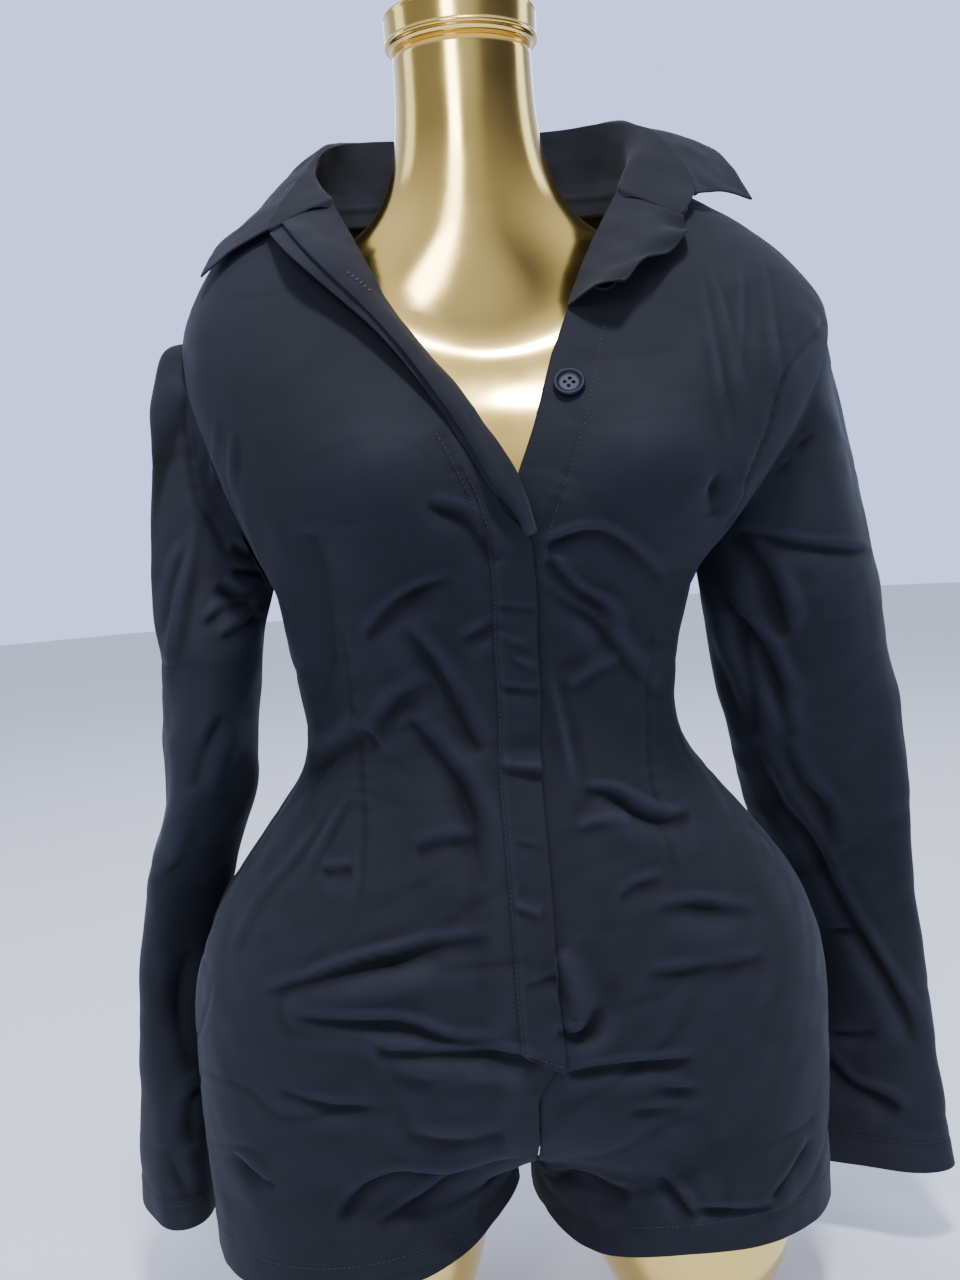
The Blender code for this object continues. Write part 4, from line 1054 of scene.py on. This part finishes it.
# Each soft light: place, what it looks at, width, height, strength in watts and colour.
LIGHTS = {
    "key": ((0.05, -0.80, 2.4), (0.0, 0.0, 0.55), 0.28, 0.28, 51, (0.93, 0.95, 1.0)),
    "front_fill": ((-0.7, -1.7, 1.5), (0.0, 0.0, 0.5), 0.45, 0.45, 13, (0.88, 0.93, 1.0)),
    "left_wall": ((-1.9, 0.5, 1.0), (0.0, 0.0, 0.4), 0.6, 1.6, 6, (0.80, 0.88, 1.0)),
    "right_wall": ((1.9, 0.5, 1.0), (0.0, 0.0, 0.4), 0.6, 1.6, 9, (0.78, 0.87, 1.0)),
    "back": ((0.2, 2.0, 1.9), (0.0, 0.0, 0.5), 1.6, 1.2, 16, (0.93, 0.95, 1.0)),
}
# The colours of the surroundings, which the gold reflects.
ROOM = {
    "left_wall": (0.26, 0.26, 0.28, 1),
    "right_wall": (0.07, 0.07, 0.09, 1),
    "window": (0.60, 0.64, 0.70, 1),
    "back_wall": (0.98, 1.13, 1.90, 1),
    "ceiling": (0.84, 0.86, 0.92, 1),
}


def add_floor(settings):
    """A wide round floor."""
    shape = bmesh.new()
    bmesh.ops.create_circle(shape, cap_ends=True, cap_tris=True, segments=96, radius=FLOOR_RADIUS)
    floor = placed("stage_floor", mesh_of("stage_floor", shape))
    material, shader, add, _ = new_material("pale_floor")
    add.fill(shader, Base_Color=(*settings.colour, 1), Roughness=0.6)
    floor.data.materials.append(material)


def add_lights(settings):
    """The soft lights."""
    for name, (place, target, width, height, watts, colour) in LIGHTS.items():
        light = bpy.data.lights.new(f"light_{name}", "AREA")
        light.shape = "RECTANGLE"
        light.size, light.size_y = width, height
        light.energy = watts * settings.light
        light.color = colour
        lamp = placed(f"light_{name}", light)
        lamp.location = place
        lamp.rotation_euler = (Vector(target) - Vector(place)).to_track_quat("-Z", "Y").to_euler()


def pale_room():
    """The surroundings: dim walls at the sides, a window in front, a pale wall behind and a pale ceiling."""
    world = bpy.data.worlds.new("pale_room")
    world.use_nodes = True
    add = NodeMaker(world.node_tree)
    way = add.node("SeparateXYZ", Vector=add.node("TexCoord")["Generated"])
    behind = add.spread(way["Y"], 0.15, 0.72, way="SMOOTHSTEP")
    narrow = add.spread(add.calculate("ABSOLUTE", way["X"]), 0.48, 0.72, 1.0, 0.30)
    walls = add.mix(add.spread(way["X"], -0.8, 0.8), ROOM["left_wall"], ROOM["right_wall"])
    windowed = add.mix(add.spread(way["Y"], -0.80, -0.98, way="SMOOTHSTEP"), walls, ROOM["window"])
    room = add.mix(add.calculate("MULTIPLY", behind, narrow), windowed, ROOM["back_wall"])
    roofed = add.mix(add.spread(way["Z"], 0.36, 0.74, way="SMOOTHSTEP"), room, ROOM["ceiling"])
    add.fill(world.node_tree.nodes["Background"], Color=roofed, Strength=1.0)
    return world


def add_camera(settings):
    """The camera, turned by its heading, then down, then by its roll."""
    camera = placed("camera", bpy.data.cameras.new("camera"))
    camera.data.sensor_width = 36.0
    camera.data.lens = settings.lens
    camera.data.clip_start = 0.01
    heading, down, roll = (math.radians(CAMERA_TURN[key]) for key in ("heading", "down", "roll"))
    ahead = Vector((math.sin(heading) * math.cos(down), math.cos(heading) * math.cos(down), -math.sin(down)))
    right = Vector((math.cos(heading), -math.sin(heading), 0))
    below = ahead.cross(right)
    local_x = math.cos(roll) * right + math.sin(roll) * below
    local_y = math.sin(roll) * right - math.cos(roll) * below
    turned = Matrix((local_x, local_y, -ahead)).transposed().to_4x4()
    camera.matrix_world = Matrix.Translation(CAMERA_PLACE) @ turned
    return camera


class ROMPER_OT_stage(bpy.types.Operator):
    """Add the floor, the soft lights, the pale surroundings and the camera"""

    bl_idname = "romper.stage"
    bl_label = "Stage"

    def execute(self, context):
        settings = context.scene.romper_stage
        add_floor(settings)
        add_lights(settings)
        context.scene.world = pale_room()
        context.scene.camera = add_camera(settings)
        return {"FINISHED"}


# ---------------------------------------------------------------- the dress form

# The neck above the neckline: height, half width, front and back, and how far the ring dips at the front.
NECK = metres((
    (821, 42.5, -42.5, 42.5, 0),
    (796, 42.5, -42.5, 43, 0),
    (772, 44, -44, 46, 2),
    (750, 48, -47, 52, 6),
    (728, 57, -51, 60, 12),
    (710, 74, -55, 65, 20),
))
FORM_HANG = 0.3  # the form hangs this share of the cloth's way to the left
FORM_DROP = metres((0, 34, 26, 16, 8, 3, 0))  # how far the form's shoulders lie below the cloth's rows
UNDER_CLOTH = 0.0055  # the further air that the form leaves under the creased cloth
# Thigh stubs: height, out from the middle, back, half width, front and back.
THIGHS = metres((
    (185, 100, 10, 90, 93, 104),
    (150, 103, 9, 87, 88, 93),
    (115, 104, 8, 84, 82, 85),
    (85, 105, 6, 77, 76, 78),
    (55, 105, 4, 70, 71, 72),
    (30, 105, 2, 60, 60, 60),
    (12, 105, 2, 50, 50, 50),
    (0, 105, 2, 38, 38, 38),
))
RING_MERGE = 1e-6  # corners nearer than this, where a ring closes, become one


def closed_rings(around, rings, point):
    """A closed body of rings, with a flat face at both ends. point(u, ring) takes arrays."""
    shape = bmesh.new()
    bmesh.ops.create_grid(shape, x_segments=around, y_segments=rings - 1, size=0.5)
    flat = np.array([corner.co for corner in shape.verts])
    places = point((flat[:, 0] + 0.5) % 1.0, np.rint((0.5 - flat[:, 1]) * (rings - 1)).astype(int))
    for corner, place in zip(shape.verts, places):
        corner.co = place
    bmesh.ops.remove_doubles(shape, verts=shape.verts, dist=RING_MERGE)
    crisp = shape.edges.layers.float.new("crease_edge")
    ends = [edge for edge in shape.edges if edge.is_boundary]
    bmesh.ops.holes_fill(shape, edges=ends, sides=0)
    for edge in ends:
        edge[crisp] = 1.0
    bmesh.ops.recalc_face_normals(shape, faces=shape.faces)
    return shape


def torso_point(u, ring):
    """Places on the form's neck and torso."""
    side = np.where(u <= 0.5, 1, -1)
    angle = np.where(u <= 0.5, 360 * u, 360 * (1 - u))
    turn = np.radians(angle)
    high, half, front, back, dip = NECK[np.minimum(ring, len(NECK) - 1)].T
    reach = np.where(np.cos(turn) > 0, -front, back)
    neck_z = high - dip * np.maximum(np.cos(turn), 0) ** 2
    on_neck = np.stack((side * half * np.sin(turn), -reach * np.cos(turn), neck_z), axis=-1)
    row = np.clip(ring - len(NECK) + 1, 0, ROW["seat_low"])
    hidden = UNDER_CLOTH * ease(ROW["arm"] - 0.5, ROW["arm_base"], row)
    inset = SECTION["room"][row] + (1 - FORM_HANG) * np.abs(SECTION["shift"][row]) + hidden
    on_body = np.where(
        side[:, None] > 0,
        ring_point(1, row, angle, inset, FORM_HANG, legs=False),
        ring_point(-1, row, angle, inset, FORM_HANG, legs=False),
    )
    on_body[:, 2] -= FORM_DROP[np.minimum(row, len(FORM_DROP) - 1)]
    return np.where((ring < len(NECK))[:, None], on_neck, on_body)


def thigh_point(side):
    """A function that gives places on a thigh stub."""

    def point(u, ring):
        z, x, y, half, front, back = THIGHS[ring].T
        turn = math.tau * u
        reach = np.where(np.cos(turn) > 0, front, back)
        return np.stack((side * (x + half * np.sin(turn)), y - reach * np.cos(turn), z), axis=-1)

    return point


def applied(made):
    """The same object with its modifiers turned into its mesh."""
    graph = bpy.context.evaluated_depsgraph_get()
    mesh = bpy.data.meshes.new_from_object(made.evaluated_get(graph))
    made.modifiers.clear()
    old = made.data
    made.data = mesh
    bpy.data.meshes.remove(old)
    return made


def booleaned(made, operation, other):
    """The same object joined with another or cut by it. The other one ends here."""
    change = made.modifiers.new("boolean", "BOOLEAN")
    change.operation = operation
    change.solver = "EXACT"
    change.object = other
    applied(made)
    bpy.data.objects.remove(other)


def smooth_body(name, shape, levels=2):
    """An object from a bmesh, rounded by subdivision."""
    made = new_object(name, shape)
    rounder = made.modifiers.new("round", "SUBSURF")
    rounder.levels = levels
    rounder.render_levels = levels
    applied(made)
    made.data.shade_smooth()
    return made


def spun_shape(profile, steps=96):
    """A closed profile of radius and height, spun round the upright axis."""
    shape = bmesh.new()
    corners = [shape.verts.new((radius, 0, height)) for radius, height in profile]
    edges = [shape.edges.new(pair) for pair in zip(corners, corners[1:])]
    bmesh.ops.spin(
        shape, geom=corners + edges, cent=(0, 0, 0), axis=(0, 0, 1),
        angle=math.tau, steps=steps, use_merge=True,
    )
    bmesh.ops.remove_doubles(shape, verts=shape.verts, dist=RING_MERGE)
    bmesh.ops.recalc_face_normals(shape, faces=shape.faces)
    return shape


def rounded_profile(profile, radius, steps=5):
    """A profile in metres, from one in millimetres, whose corners are rounded by up to this radius."""
    points = metres(profile)
    result = [points[0]]
    for before, here, after in zip(points, points[1:], points[2:]):
        to_before, to_after = before - here, after - here
        reach = min(radius, 0.45 * np.linalg.norm(to_before), 0.45 * np.linalg.norm(to_after))
        start, end = here + unit(to_before) * reach, here + unit(to_after) * reach
        for share in np.linspace(0, 1, steps):
            result.append((1 - share) ** 2 * start + 2 * share * (1 - share) * here + share**2 * end)
    result.append(points[-1])
    return [tuple(point) for point in result]


CAP_PROFILE = (
    (0, 844), (40, 843.6), (43.6, 843.8), (45.2, 842.8), (46.6, 842.8), (47.2, 841.2), (46.7, 839.8),
    (46.6, 827.2), (47.2, 825.6), (46.6, 824), (44, 823.6), (42.8, 821.3), (0, 821.3),
)
KNOB_PROFILE = (
    (0, 874.5), (10, 873.5), (20, 870), (27, 863), (29, 855), (26.2, 848), (20, 844.3), (0, 844.3),
)


class ROMPER_OT_form(bpy.types.Operator):
    """Add the gold dress form: its torso with the thigh stubs, and the cap and knob on its neck"""

    bl_idname = "romper.dress_form"
    bl_label = "Dress form"

    def execute(self, context):
        rings = len(NECK) + ROW["seat_low"]
        body = smooth_body("gold_form_body", closed_rings(48, rings, torso_point))
        for side in (1, -1):
            thigh = smooth_body(f"thigh_{side_name(side)}", closed_rings(24, len(THIGHS), thigh_point(side)))
            booleaned(body, "UNION", thigh)
        body.data.shade_smooth()
        finish_piece(body, "gold", "form_body")
        for node, profile, radius in (("neck_cap", CAP_PROFILE, 0.0008), ("neck_knob", KNOB_PROFILE, 0.0060)):
            made = new_object(f"gold_{node}", spun_shape(rounded_profile(profile, radius)))
            finish_piece(made, "gold", node)
        return {"FINISHED"}


# ---------------------------------------------------------------- the body's cloth


def front_surface(side):
    """A front's outer face: u from its edge to the side seam, and v from the shoulder to the hem."""

    def surface(u, v):
        row = v * ROW["hem"]
        inner, outer = edge_angle(side, row), arm_angle(side, row, False)
        angle = inner + (outer - inner) * u
        lift = overlap_lift(row, ring_point(side, row, angle)[..., 0]) if side < 0 else 0.0
        return body_surface(side, row, angle, lift)

    return surface


def back_surface(side):
    """A back's outer face: u from the centre back to the side seam, and v from the shoulder to the hem."""

    def surface(u, v):
        row = v * ROW["hem"]
        outer = arm_angle(side, row, True)
        return body_surface(side, row, 180 + (outer - 180) * u)

    return surface


class ROMPER_OT_body(bpy.types.Operator):
    """Add the two fronts and the two backs"""

    bl_idname = "romper.body"
    bl_label = "Fronts and backs"

    def execute(self, context):
        for side in (-1, 1):
            name = side_name(side)
            add_sheet(f"front_{name}", 132, 344, front_surface(side), (0.24, 0.74))
            add_sheet(f"back_{name}", 80, 240, back_surface(side), (0.26, 0.80))
        return {"FINISHED"}


class ROMPER_OT_sleeves(bpy.types.Operator):
    """Add the two wide empty sleeves"""

    bl_idname = "romper.sleeves"
    bl_label = "Sleeves"

    def execute(self, context):
        for side in (-1, 1):
            add_sheet(
                f"sleeve_{side_name(side)}", 110, 280,
                lambda u, v: sleeve_surface(side, u, v * SLEEVE_ROWS), (0.32, 0.62), wrap=True,
            )
        return {"FINISHED"}


# ---------------------------------------------------------------- the collar and the turned-out fronts

THIN = 0.0011  # the thickness that the collar and the turned-out fronts are shown with
STAND_SEAM = 0.30  # the share of the stand's sheet that lies inside the neckline, as its sewn-in facing
STAND_DROP = 0.022  # how far down the facing goes
ROLL_IN, ROLL_UP = 0.0042, 0.0014  # how far the fall rolls over the top of the stand, inwards and upwards
RIGHT_FACING = (-1, 1, 0.75)  # its side, its layer, and its share of the turned-out front's width


def collar_relief(places, amount=1.0):
    """Fine wrinkles of the collar's cloth."""
    return amount * (0.0007 * ripple(places, 0.050, 11) + 0.00022 * ripple(places, 0.018, 12))


def stand_surface():
    """The stand's outer face, from its sewn-in facing over its foot to its fold."""
    foot, fold, _ = collar_lines()
    sheet = loft([foot, fold])

    def surface(u, v):
        below = np.clip((STAND_SEAM - v) / STAND_SEAM, 0, 1)
        v = np.clip((v - STAND_SEAM) / (1 - STAND_SEAM), 0, 1)
        from_end = np.minimum(u, 1 - u)
        near_end = np.clip(1 - from_end / 0.022, 0, 1)
        v = 0.5 + (v - 0.5) * np.sqrt(np.maximum(1 - near_end**2, 0.04))
        place, out = sheet(u, v)
        below = below * ease(0.10, 0.26, from_end)
        relief = collar_relief(place, 0.6) - 0.0010 * np.exp(-(((below - 0.45) / 0.07) ** 2))
        place = place + out * (CLOTH + relief)[..., None]
        return place - below[..., None] * (0.003 * out + np.array((0, 0, STAND_DROP))), out

    return surface


def fall_surface():
    """The fall's outer face, from its edge to the fold, where it rolls over the stand."""
    foot, fold, edge = collar_lines()
    stand = loft([foot, fold])
    last = len(fold) - 1
    start, middle = [], []
    for number, (top, low) in enumerate(zip(fold, edge)):
        out = stand(number / last, 1)[1]
        air = (8 if number in (0, last) else 5) * SEAM
        begin = top + out * (CLOTH + air) + np.array((0, 0, SEAM))
        start.append(begin)
        middle.append((begin + low) / 2 + np.array((0, 0, 0.004)) + out * 0.002)
    sheet = loft([edge, middle, start])

    def surface(u, v):
        place, out = sheet(u, v)
        roll = ease(0.94, 1.0, v)[..., None]
        place = place - out * roll * ROLL_IN + np.array((0, 0, ROLL_UP)) * np.sqrt(roll)
        return place + out * (CLOTH + collar_relief(place))[..., None], out

    return surface


def turned_surface(side, layer=0, share=1.0):
    """The outer face of a turned-out front, some layers up, over a share of its width from the fold."""
    back = turned_place(side)

    def surface(u, v):
        place, out = back(u, 1 - (1 - v) * share if side > 0 else v * share)
        rim = ease(0.55, 0.0, v) if side > 0 else ease(0.5, 1.0, v)
        wave = (0.0030 if side > 0 else 0.0010) * rim * np.sin(math.tau * (2.3 * u + 0.15) + 3 * u * u)
        return place + out * (CLOTH + layer * LAYER + wave + collar_relief(place, 0.9))[..., None], out

    return surface


class ROMPER_OT_collar(bpy.types.Operator):
    """Add the collar's stand and fall, and the fronts that turn out below it"""

    bl_idname = "romper.collar"
    bl_label = "Collar and turned-out fronts"

    def execute(self, context):
        for name, across, down, surface, flat in (
            ("collar_stand", 220, 40, stand_surface(), (0.50, 0.045)),
            ("collar_fall", 220, 44, fall_surface(), (0.56, 0.060)),
            ("facing_left", 80, 32, turned_surface(1), (0.09, 0.06)),
            ("facing_right", 120, 26, turned_surface(*RIGHT_FACING), (0.13, 0.04)),
            ("fly_turned", 120, 32, turned_surface(-1), (0.13, 0.05)),
        ):
            add_sheet(name, across, down, surface, flat, thickness=THIN)
        return {"FINISHED"}


# ---------------------------------------------------------------- the fly

# The creases of the cover strip, each a stroke like those of the body.
FLY_CREASES = (
    (3, -1.2, (-12, 490), (12, 486)),
    (3, 0.9, (-12, 474), (6, 468)),
    (2.6, 1, (-4, 461), (12, 452)),
    (3, -1.2, (-10, 442), (12, 438)),
    (4.5, 3, (-14, 397), (18, 392)),
    (3, -0.6, (-10, 352), (8, 346)),
    (3.5, 1.8, (-12, 318), (4, 311)),
    (3, -1, (-10, 272), (12, 276)),
)


def fly_surface(u, v):
    """The cover strip. u runs from its free edge to its stitched edge."""
    first, last = ROW["arm_top"] + 0.1, ROW["hip"] + 0.05 + 0.38 * (1 - u)
    row = first + (last - first) * v
    under = 1 - ease(ROW["arm"] + 0.2, ROW["arm_low"] + 0.3, row)
    u = u + 0.5 * under * (1 - u)
    edge = edge_angle(-1, np.minimum(row, ROW["hip"]))
    angle = edge + angle_of(row, BAND) * u
    place, out = body_surface(-1, row, angle, overlap_lift(row, ring_point(-1, row, angle)[..., 0]))
    stitched = ease(0.82, 1.0, u)
    lift = LAYER * (1 - stitched) * (1 - under) + 0.0003
    ends = ease(0.0, 0.03, v) * ease(0.0, 0.02, 1 - v)
    wave = 0.0009 * np.sin(19 * v + 1.0) * ease(0.7, 0.0, u)
    relief = crease_relief(place[..., 0], place[..., 2], FLY_CREASES) * (1 - 0.6 * stitched)
    lift = lift + ends * (wave + relief + 0.0004)
    return place + out * np.maximum(lift, 0.0002)[..., None], out


class ROMPER_OT_fly(bpy.types.Operator):
    """Add the strip that covers the closure"""

    bl_idname = "romper.fly"
    bl_label = "Fly cover"

    def execute(self, context):
        add_sheet("fly_cover", 24, 260, fly_surface, (0.025, 0.40), thickness=0.0009)
        return {"FINISHED"}


# ---------------------------------------------------------------- buttons

BUTTON_PROFILE = (
    (0, 1.8), (5, 1.8), (6, 2), (6.8, 2.8), (7.8, 3.2), (8.6, 2.9), (9, 1.9), (8.5, 0.9), (6.2, 0), (0, 0),
)
HOLE_AWAY, HOLE_RADIUS = 0.0024, 0.00115  # a hole's distance from the button's middle, and its radius
LANE = 0.00028  # how far the two threads over a pair of holes lie to each side
# Each button: its row, how far it lies from the front's edge, and how far it is spun.
BUTTONS = {
    "button_open": (ROW["shoulder_top"] - 0.1, 0.0150, 0.5),
    "button_turned": (ROW["yoke"] - 0.3, 0.0170, 0.2),
}


def centred(made):
    """The same object, with its own middle on the origin again."""
    made.data.transform(Matrix.Translation((*MIDDLE, 0)))
    return made


def turned_to(place, out, spin=0.0):
    """The matrix that moves a shape made on the origin, facing +Z, onto a place and turns it to face out."""
    return (
        Matrix.Translation(Vector(place))
        @ Vector((0, 0, 1)).rotation_difference(Vector(out)).to_matrix().to_4x4()
        @ Matrix.Rotation(spin, 4, "Z")
    )


def add_button(name, node, place, out, spin):
    """A four-hole button with a raised rim, and the thread that crosses between its holes."""
    made = centred(new_object(name, spun_shape(rounded_profile(BUTTON_PROFILE, 0.0005, 4), steps=64)))
    holes = bmesh.new()
    for number in range(4):
        turn = math.tau * (number + 0.5) / 4
        at = Matrix.Translation((HOLE_AWAY * math.cos(turn), HOLE_AWAY * math.sin(turn), 0.001))
        bmesh.ops.create_cone(
            holes, cap_ends=True, segments=20, radius1=HOLE_RADIUS, radius2=HOLE_RADIUS,
            depth=0.006, matrix=at,
        )
    booleaned(made, "DIFFERENCE", centred(new_object(f"{name}_holes", holes)))
    turned = turned_to(place, out, spin)
    made.data.transform(Matrix.Translation((-MIDDLE[0], -MIDDLE[1], 0)) @ turned)
    made.data.shade_smooth()
    made.data.set_sharp_from_angle(angle=math.radians(40))
    finish_piece(made, "button", node)
    thread = bmesh.new()
    size = Matrix.Diagonal((0.0019, 0.00026, 0.00030, 1))
    for offset in (-1, 1):
        for lane in (-LANE, LANE):
            at = turned @ Matrix.Translation((0, offset * HOLE_AWAY * 0.707 + lane, 0.0011))
            bmesh.ops.create_uvsphere(thread, u_segments=10, v_segments=8, radius=1.0, matrix=at @ size)
    finish_piece(new_object(f"{name}_thread", thread), "thread")


class ROMPER_OT_buttons(bpy.types.Operator):
    """Add the buttons that show on the wearer's left front"""

    bl_idname = "romper.buttons"
    bl_label = "Buttons"

    def execute(self, context):
        for name, (row, across, spin) in BUTTONS.items():
            angle = edge_angle(1, row) + angle_of(np.float64(row), across)
            point, out = body_place(1, row, angle)
            add_button(f"navy_{name}", name, point + out * (CLOTH + 2 * SEAM), out, spin)
        return {"FINISHED"}


# ---------------------------------------------------------------- the cut of each sheet

# Each sheet's cut: width, length, area, how it is held, what it rests on or hangs from, and its stitches.
CUTS = {
    "suiting_front_left": (0.26, 0.72, 0.158, "draped", ("gold_form_body",), ("stitches_bands",)),
    "suiting_front_right": (0.26, 0.72, 0.157, "draped", ("gold_form_body",), ()),
    "suiting_back_left": (0.27, 0.72, 0.164, "draped", ("gold_form_body",), ()),
    "suiting_back_right": (0.27, 0.72, 0.161, "draped", ("gold_form_body",), ()),
    "suiting_sleeve_left": (0.32, 0.60, 0.158, "hung", ("suiting_front_left", "suiting_back_left"), ()),
    "suiting_sleeve_right": (0.30, 0.59, 0.137, "hung", ("suiting_front_right", "suiting_back_right"), ()),
    "suiting_collar_stand": (0.42, 0.075, 0.028, "folded", ("suiting_back_left", "suiting_back_right"), ()),
    "suiting_collar_fall": (0.42, 0.065, 0.0253, "folded", ("suiting_collar_stand",), ("stitches_collar",)),
    "suiting_facing_left": (0.075, 0.065, 0.0038, "folded", ("suiting_front_left",), ()),
    "suiting_facing_right": (
        0.20, 0.035, 0.0057, "folded", ("suiting_fly_turned",), ("stitches_buttonhole",)
    ),
    "suiting_fly_turned": (0.20, 0.038, 0.0063, "folded", ("suiting_front_right",), ()),
    "suiting_fly_cover": (0.025, 0.36, None, "laid", ("suiting_front_right",), ("stitches_fly",)),
}


def declare_cuts():
    """Looks up the pieces that each cloth piece rests on or hangs from, and its stitches."""
    pieces = bpy.data.objects
    for name, (width, length, area, held, on, sewn) in CUTS.items():
        [pieces[other] for other in on]
        [pieces[other] for other in sewn]


# ---------------------------------------------------------------- stitches

STITCH_RADIUS = 0.00030
STITCH_RISE = 0.0001  # how far the middle of a stitch lies over the cloth
BUTTONHOLE = metres(((-79.8, 678.9), (-65.2, 665.6)))  # its ends (x, z) in the turned-out right front
BUTTONHOLE_LANE = 0.0009  # how far its outer stitches lie from its middle
BAND_STITCH = 0.0285  # from a front's edge to the stitch line of its band


def add_stitches(name, lines, settings):
    """Short stitches along lines. Each line is places over the cloth and the directions out of it."""
    shape = bmesh.new()
    for places, outs in lines:
        steps = np.linalg.norm(np.diff(places, axis=0), axis=1)
        travelled = np.concatenate(((0.0,), np.cumsum(steps)))

        def at_distance(distance, values):
            return Vector([np.interp(distance, travelled, values[:, axis]) for axis in range(3)])

        for number in range(int(travelled[-1] / settings.stitch_pitch)):
            begin = (number + 0.14) * settings.stitch_pitch
            tips = at_distance(begin, places), at_distance(begin + settings.stitch_length, places)
            out = at_distance(begin, outs).normalized()
            along = (tips[1] - tips[0]).normalized()
            aside = out.cross(along).normalized()
            out = along.cross(aside)
            turned = Matrix((along, aside, out)).transposed().to_4x4()
            at = Matrix.Translation((tips[0] + tips[1]) / 2 + out * STITCH_RISE) @ turned
            size = Matrix.Diagonal(((tips[1] - tips[0]).length / 2, STITCH_RADIUS, STITCH_RADIUS, 1))
            bmesh.ops.create_uvsphere(shape, u_segments=6, v_segments=4, radius=1.0, matrix=at @ size)
    finish_piece(new_object(name, shape), "thread")


def sampled(surface, u, v, count=240):
    """A line over a surface. u and v are each a share that stays, or the two shares that it runs between."""
    ends = [share if isinstance(share, tuple) else (share, share) for share in (u, v)]
    return surface(*(np.linspace(first, last, count) for first, last in ends))


def band_line(side, first, last):
    """A stitch line down a front's band, between two rows."""
    rows = np.linspace(first, last, 200)
    edge = edge_angle(side, rows)
    lift = overlap_lift(rows, ring_point(side, rows, edge)[..., 0]) if side < 0 else 0.0
    return body_surface(side, rows, edge + angle_of(rows, BAND_STITCH), lift)


def buttonhole_lines():
    """The four lines of stitches round the open buttonhole."""
    facing = turned_surface(*RIGHT_FACING)
    along, across = (grid.ravel() for grid in np.meshgrid(np.linspace(0, 1, 160), np.linspace(0, 1, 60)))
    over, _ = facing(along, across)
    first, last = (np.argmin(((over[:, ::2] - end) ** 2).sum(axis=1)) for end in BUTTONHOLE)
    places, outs = sampled(facing, (along[first], along[last]), (across[first], across[last]), 60)
    aside = unit(np.cross(outs, unit(places[-1] - places[0])))
    return [(places + aside * BUTTONHOLE_LANE * lane, outs) for lane in (-1, -0.5, 0.5, 1)]


def hem_lines():
    """The stitch lines of the sleeves' and the legs' hems."""
    for side in (-1, 1):
        yield sampled(lambda u, v: sleeve_surface(side, u, v), (0, 1), SLEEVE_ROWS - 0.36, 300)
        for back in (False, True):
            rows = np.full(200, ROW["hem"] - 1.1)
            inner = 180 - angle_of(rows, SEAM) if back else edge_angle(side, rows)
            outer = arm_angle(side, rows, back)
            yield body_surface(side, rows, inner + (outer - inner) * np.linspace(0, 1, 200))


class ROMPER_OT_stitches(bpy.types.Operator):
    """Add the topstitching of the collar, the fly, the band and the hems"""

    bl_idname = "romper.stitches"
    bl_label = "Topstitching"

    def execute(self, context):
        fall = fall_surface()
        lines = {
            "collar": (
                sampled(fall, (0.012, 0.988), 0.10, 400),
                sampled(fall, 0.012, (0.10, 0.90)),
                sampled(fall, 0.988, (0.10, 0.90)),
                sampled(stand_surface(), (0.010, 0.990), 0.384, 400),
            ),
            "fly": (
                sampled(fly_surface, 0.94, (0.02, 0.99), 400),
                sampled(fly_surface, (0.06, 0.94), 0.990, 60),
            ),
            "bands": (
                band_line(1, ROW["yoke"] + 0.3, ROW["arm_base"]),
                band_line(-1, ROW["shoulder"] + 0.3, ROW["arm_low"] + 0.2),
            ),
            "buttonhole": buttonhole_lines(),
            "hems": hem_lines(),
        }
        for name, sewn in lines.items():
            add_stitches(f"stitches_{name}", sewn, context.scene.romper_trim)
        declare_cuts()
        return {"FINISHED"}


# ---------------------------------------------------------------- panel and registration


class ROMPER_PT_panel(bpy.types.Panel):
    """The romper's pieces"""

    bl_label = "Romper on a dress form"
    bl_space_type = "VIEW_3D"
    bl_region_type = "UI"
    bl_category = "Romper"

    def draw(self, context):
        for group in ("romper_cloth", "romper_form", "romper_trim", "romper_stage"):
            settings = getattr(context.scene, group)
            for name in settings.bl_rna.properties.keys():
                if name not in ("rna_type", "name"):
                    self.layout.prop(settings, name)
        for operator in OPERATORS:
            self.layout.operator(operator.bl_idname)


GROUPS = {
    "romper_cloth": ROMPER_PG_cloth,
    "romper_form": ROMPER_PG_form,
    "romper_trim": ROMPER_PG_trim,
    "romper_stage": ROMPER_PG_stage,
}
OPERATORS = (
    ROMPER_OT_stage,
    ROMPER_OT_form,
    ROMPER_OT_body,
    ROMPER_OT_sleeves,
    ROMPER_OT_collar,
    ROMPER_OT_fly,
    ROMPER_OT_buttons,
    ROMPER_OT_stitches,
)
CLASSES = (*GROUPS.values(), *OPERATORS, ROMPER_PT_panel)


def register():
    for made in CLASSES:
        bpy.utils.register_class(made)
    for name, group in GROUPS.items():
        setattr(bpy.types.Scene, name, bpy.props.PointerProperty(type=group))


def unregister():
    for name in GROUPS:
        delattr(bpy.types.Scene, name)
    for made in reversed(CLASSES):
        bpy.utils.unregister_class(made)


def main():
    register()
    bpy.ops.romper.stage()
    bpy.ops.romper.dress_form()
    bpy.ops.romper.body()
    bpy.ops.romper.sleeves()
    bpy.ops.romper.collar()
    bpy.ops.romper.fly()
    bpy.ops.romper.buttons()
    bpy.ops.romper.stitches()


if __name__ == "__main__":
    main()
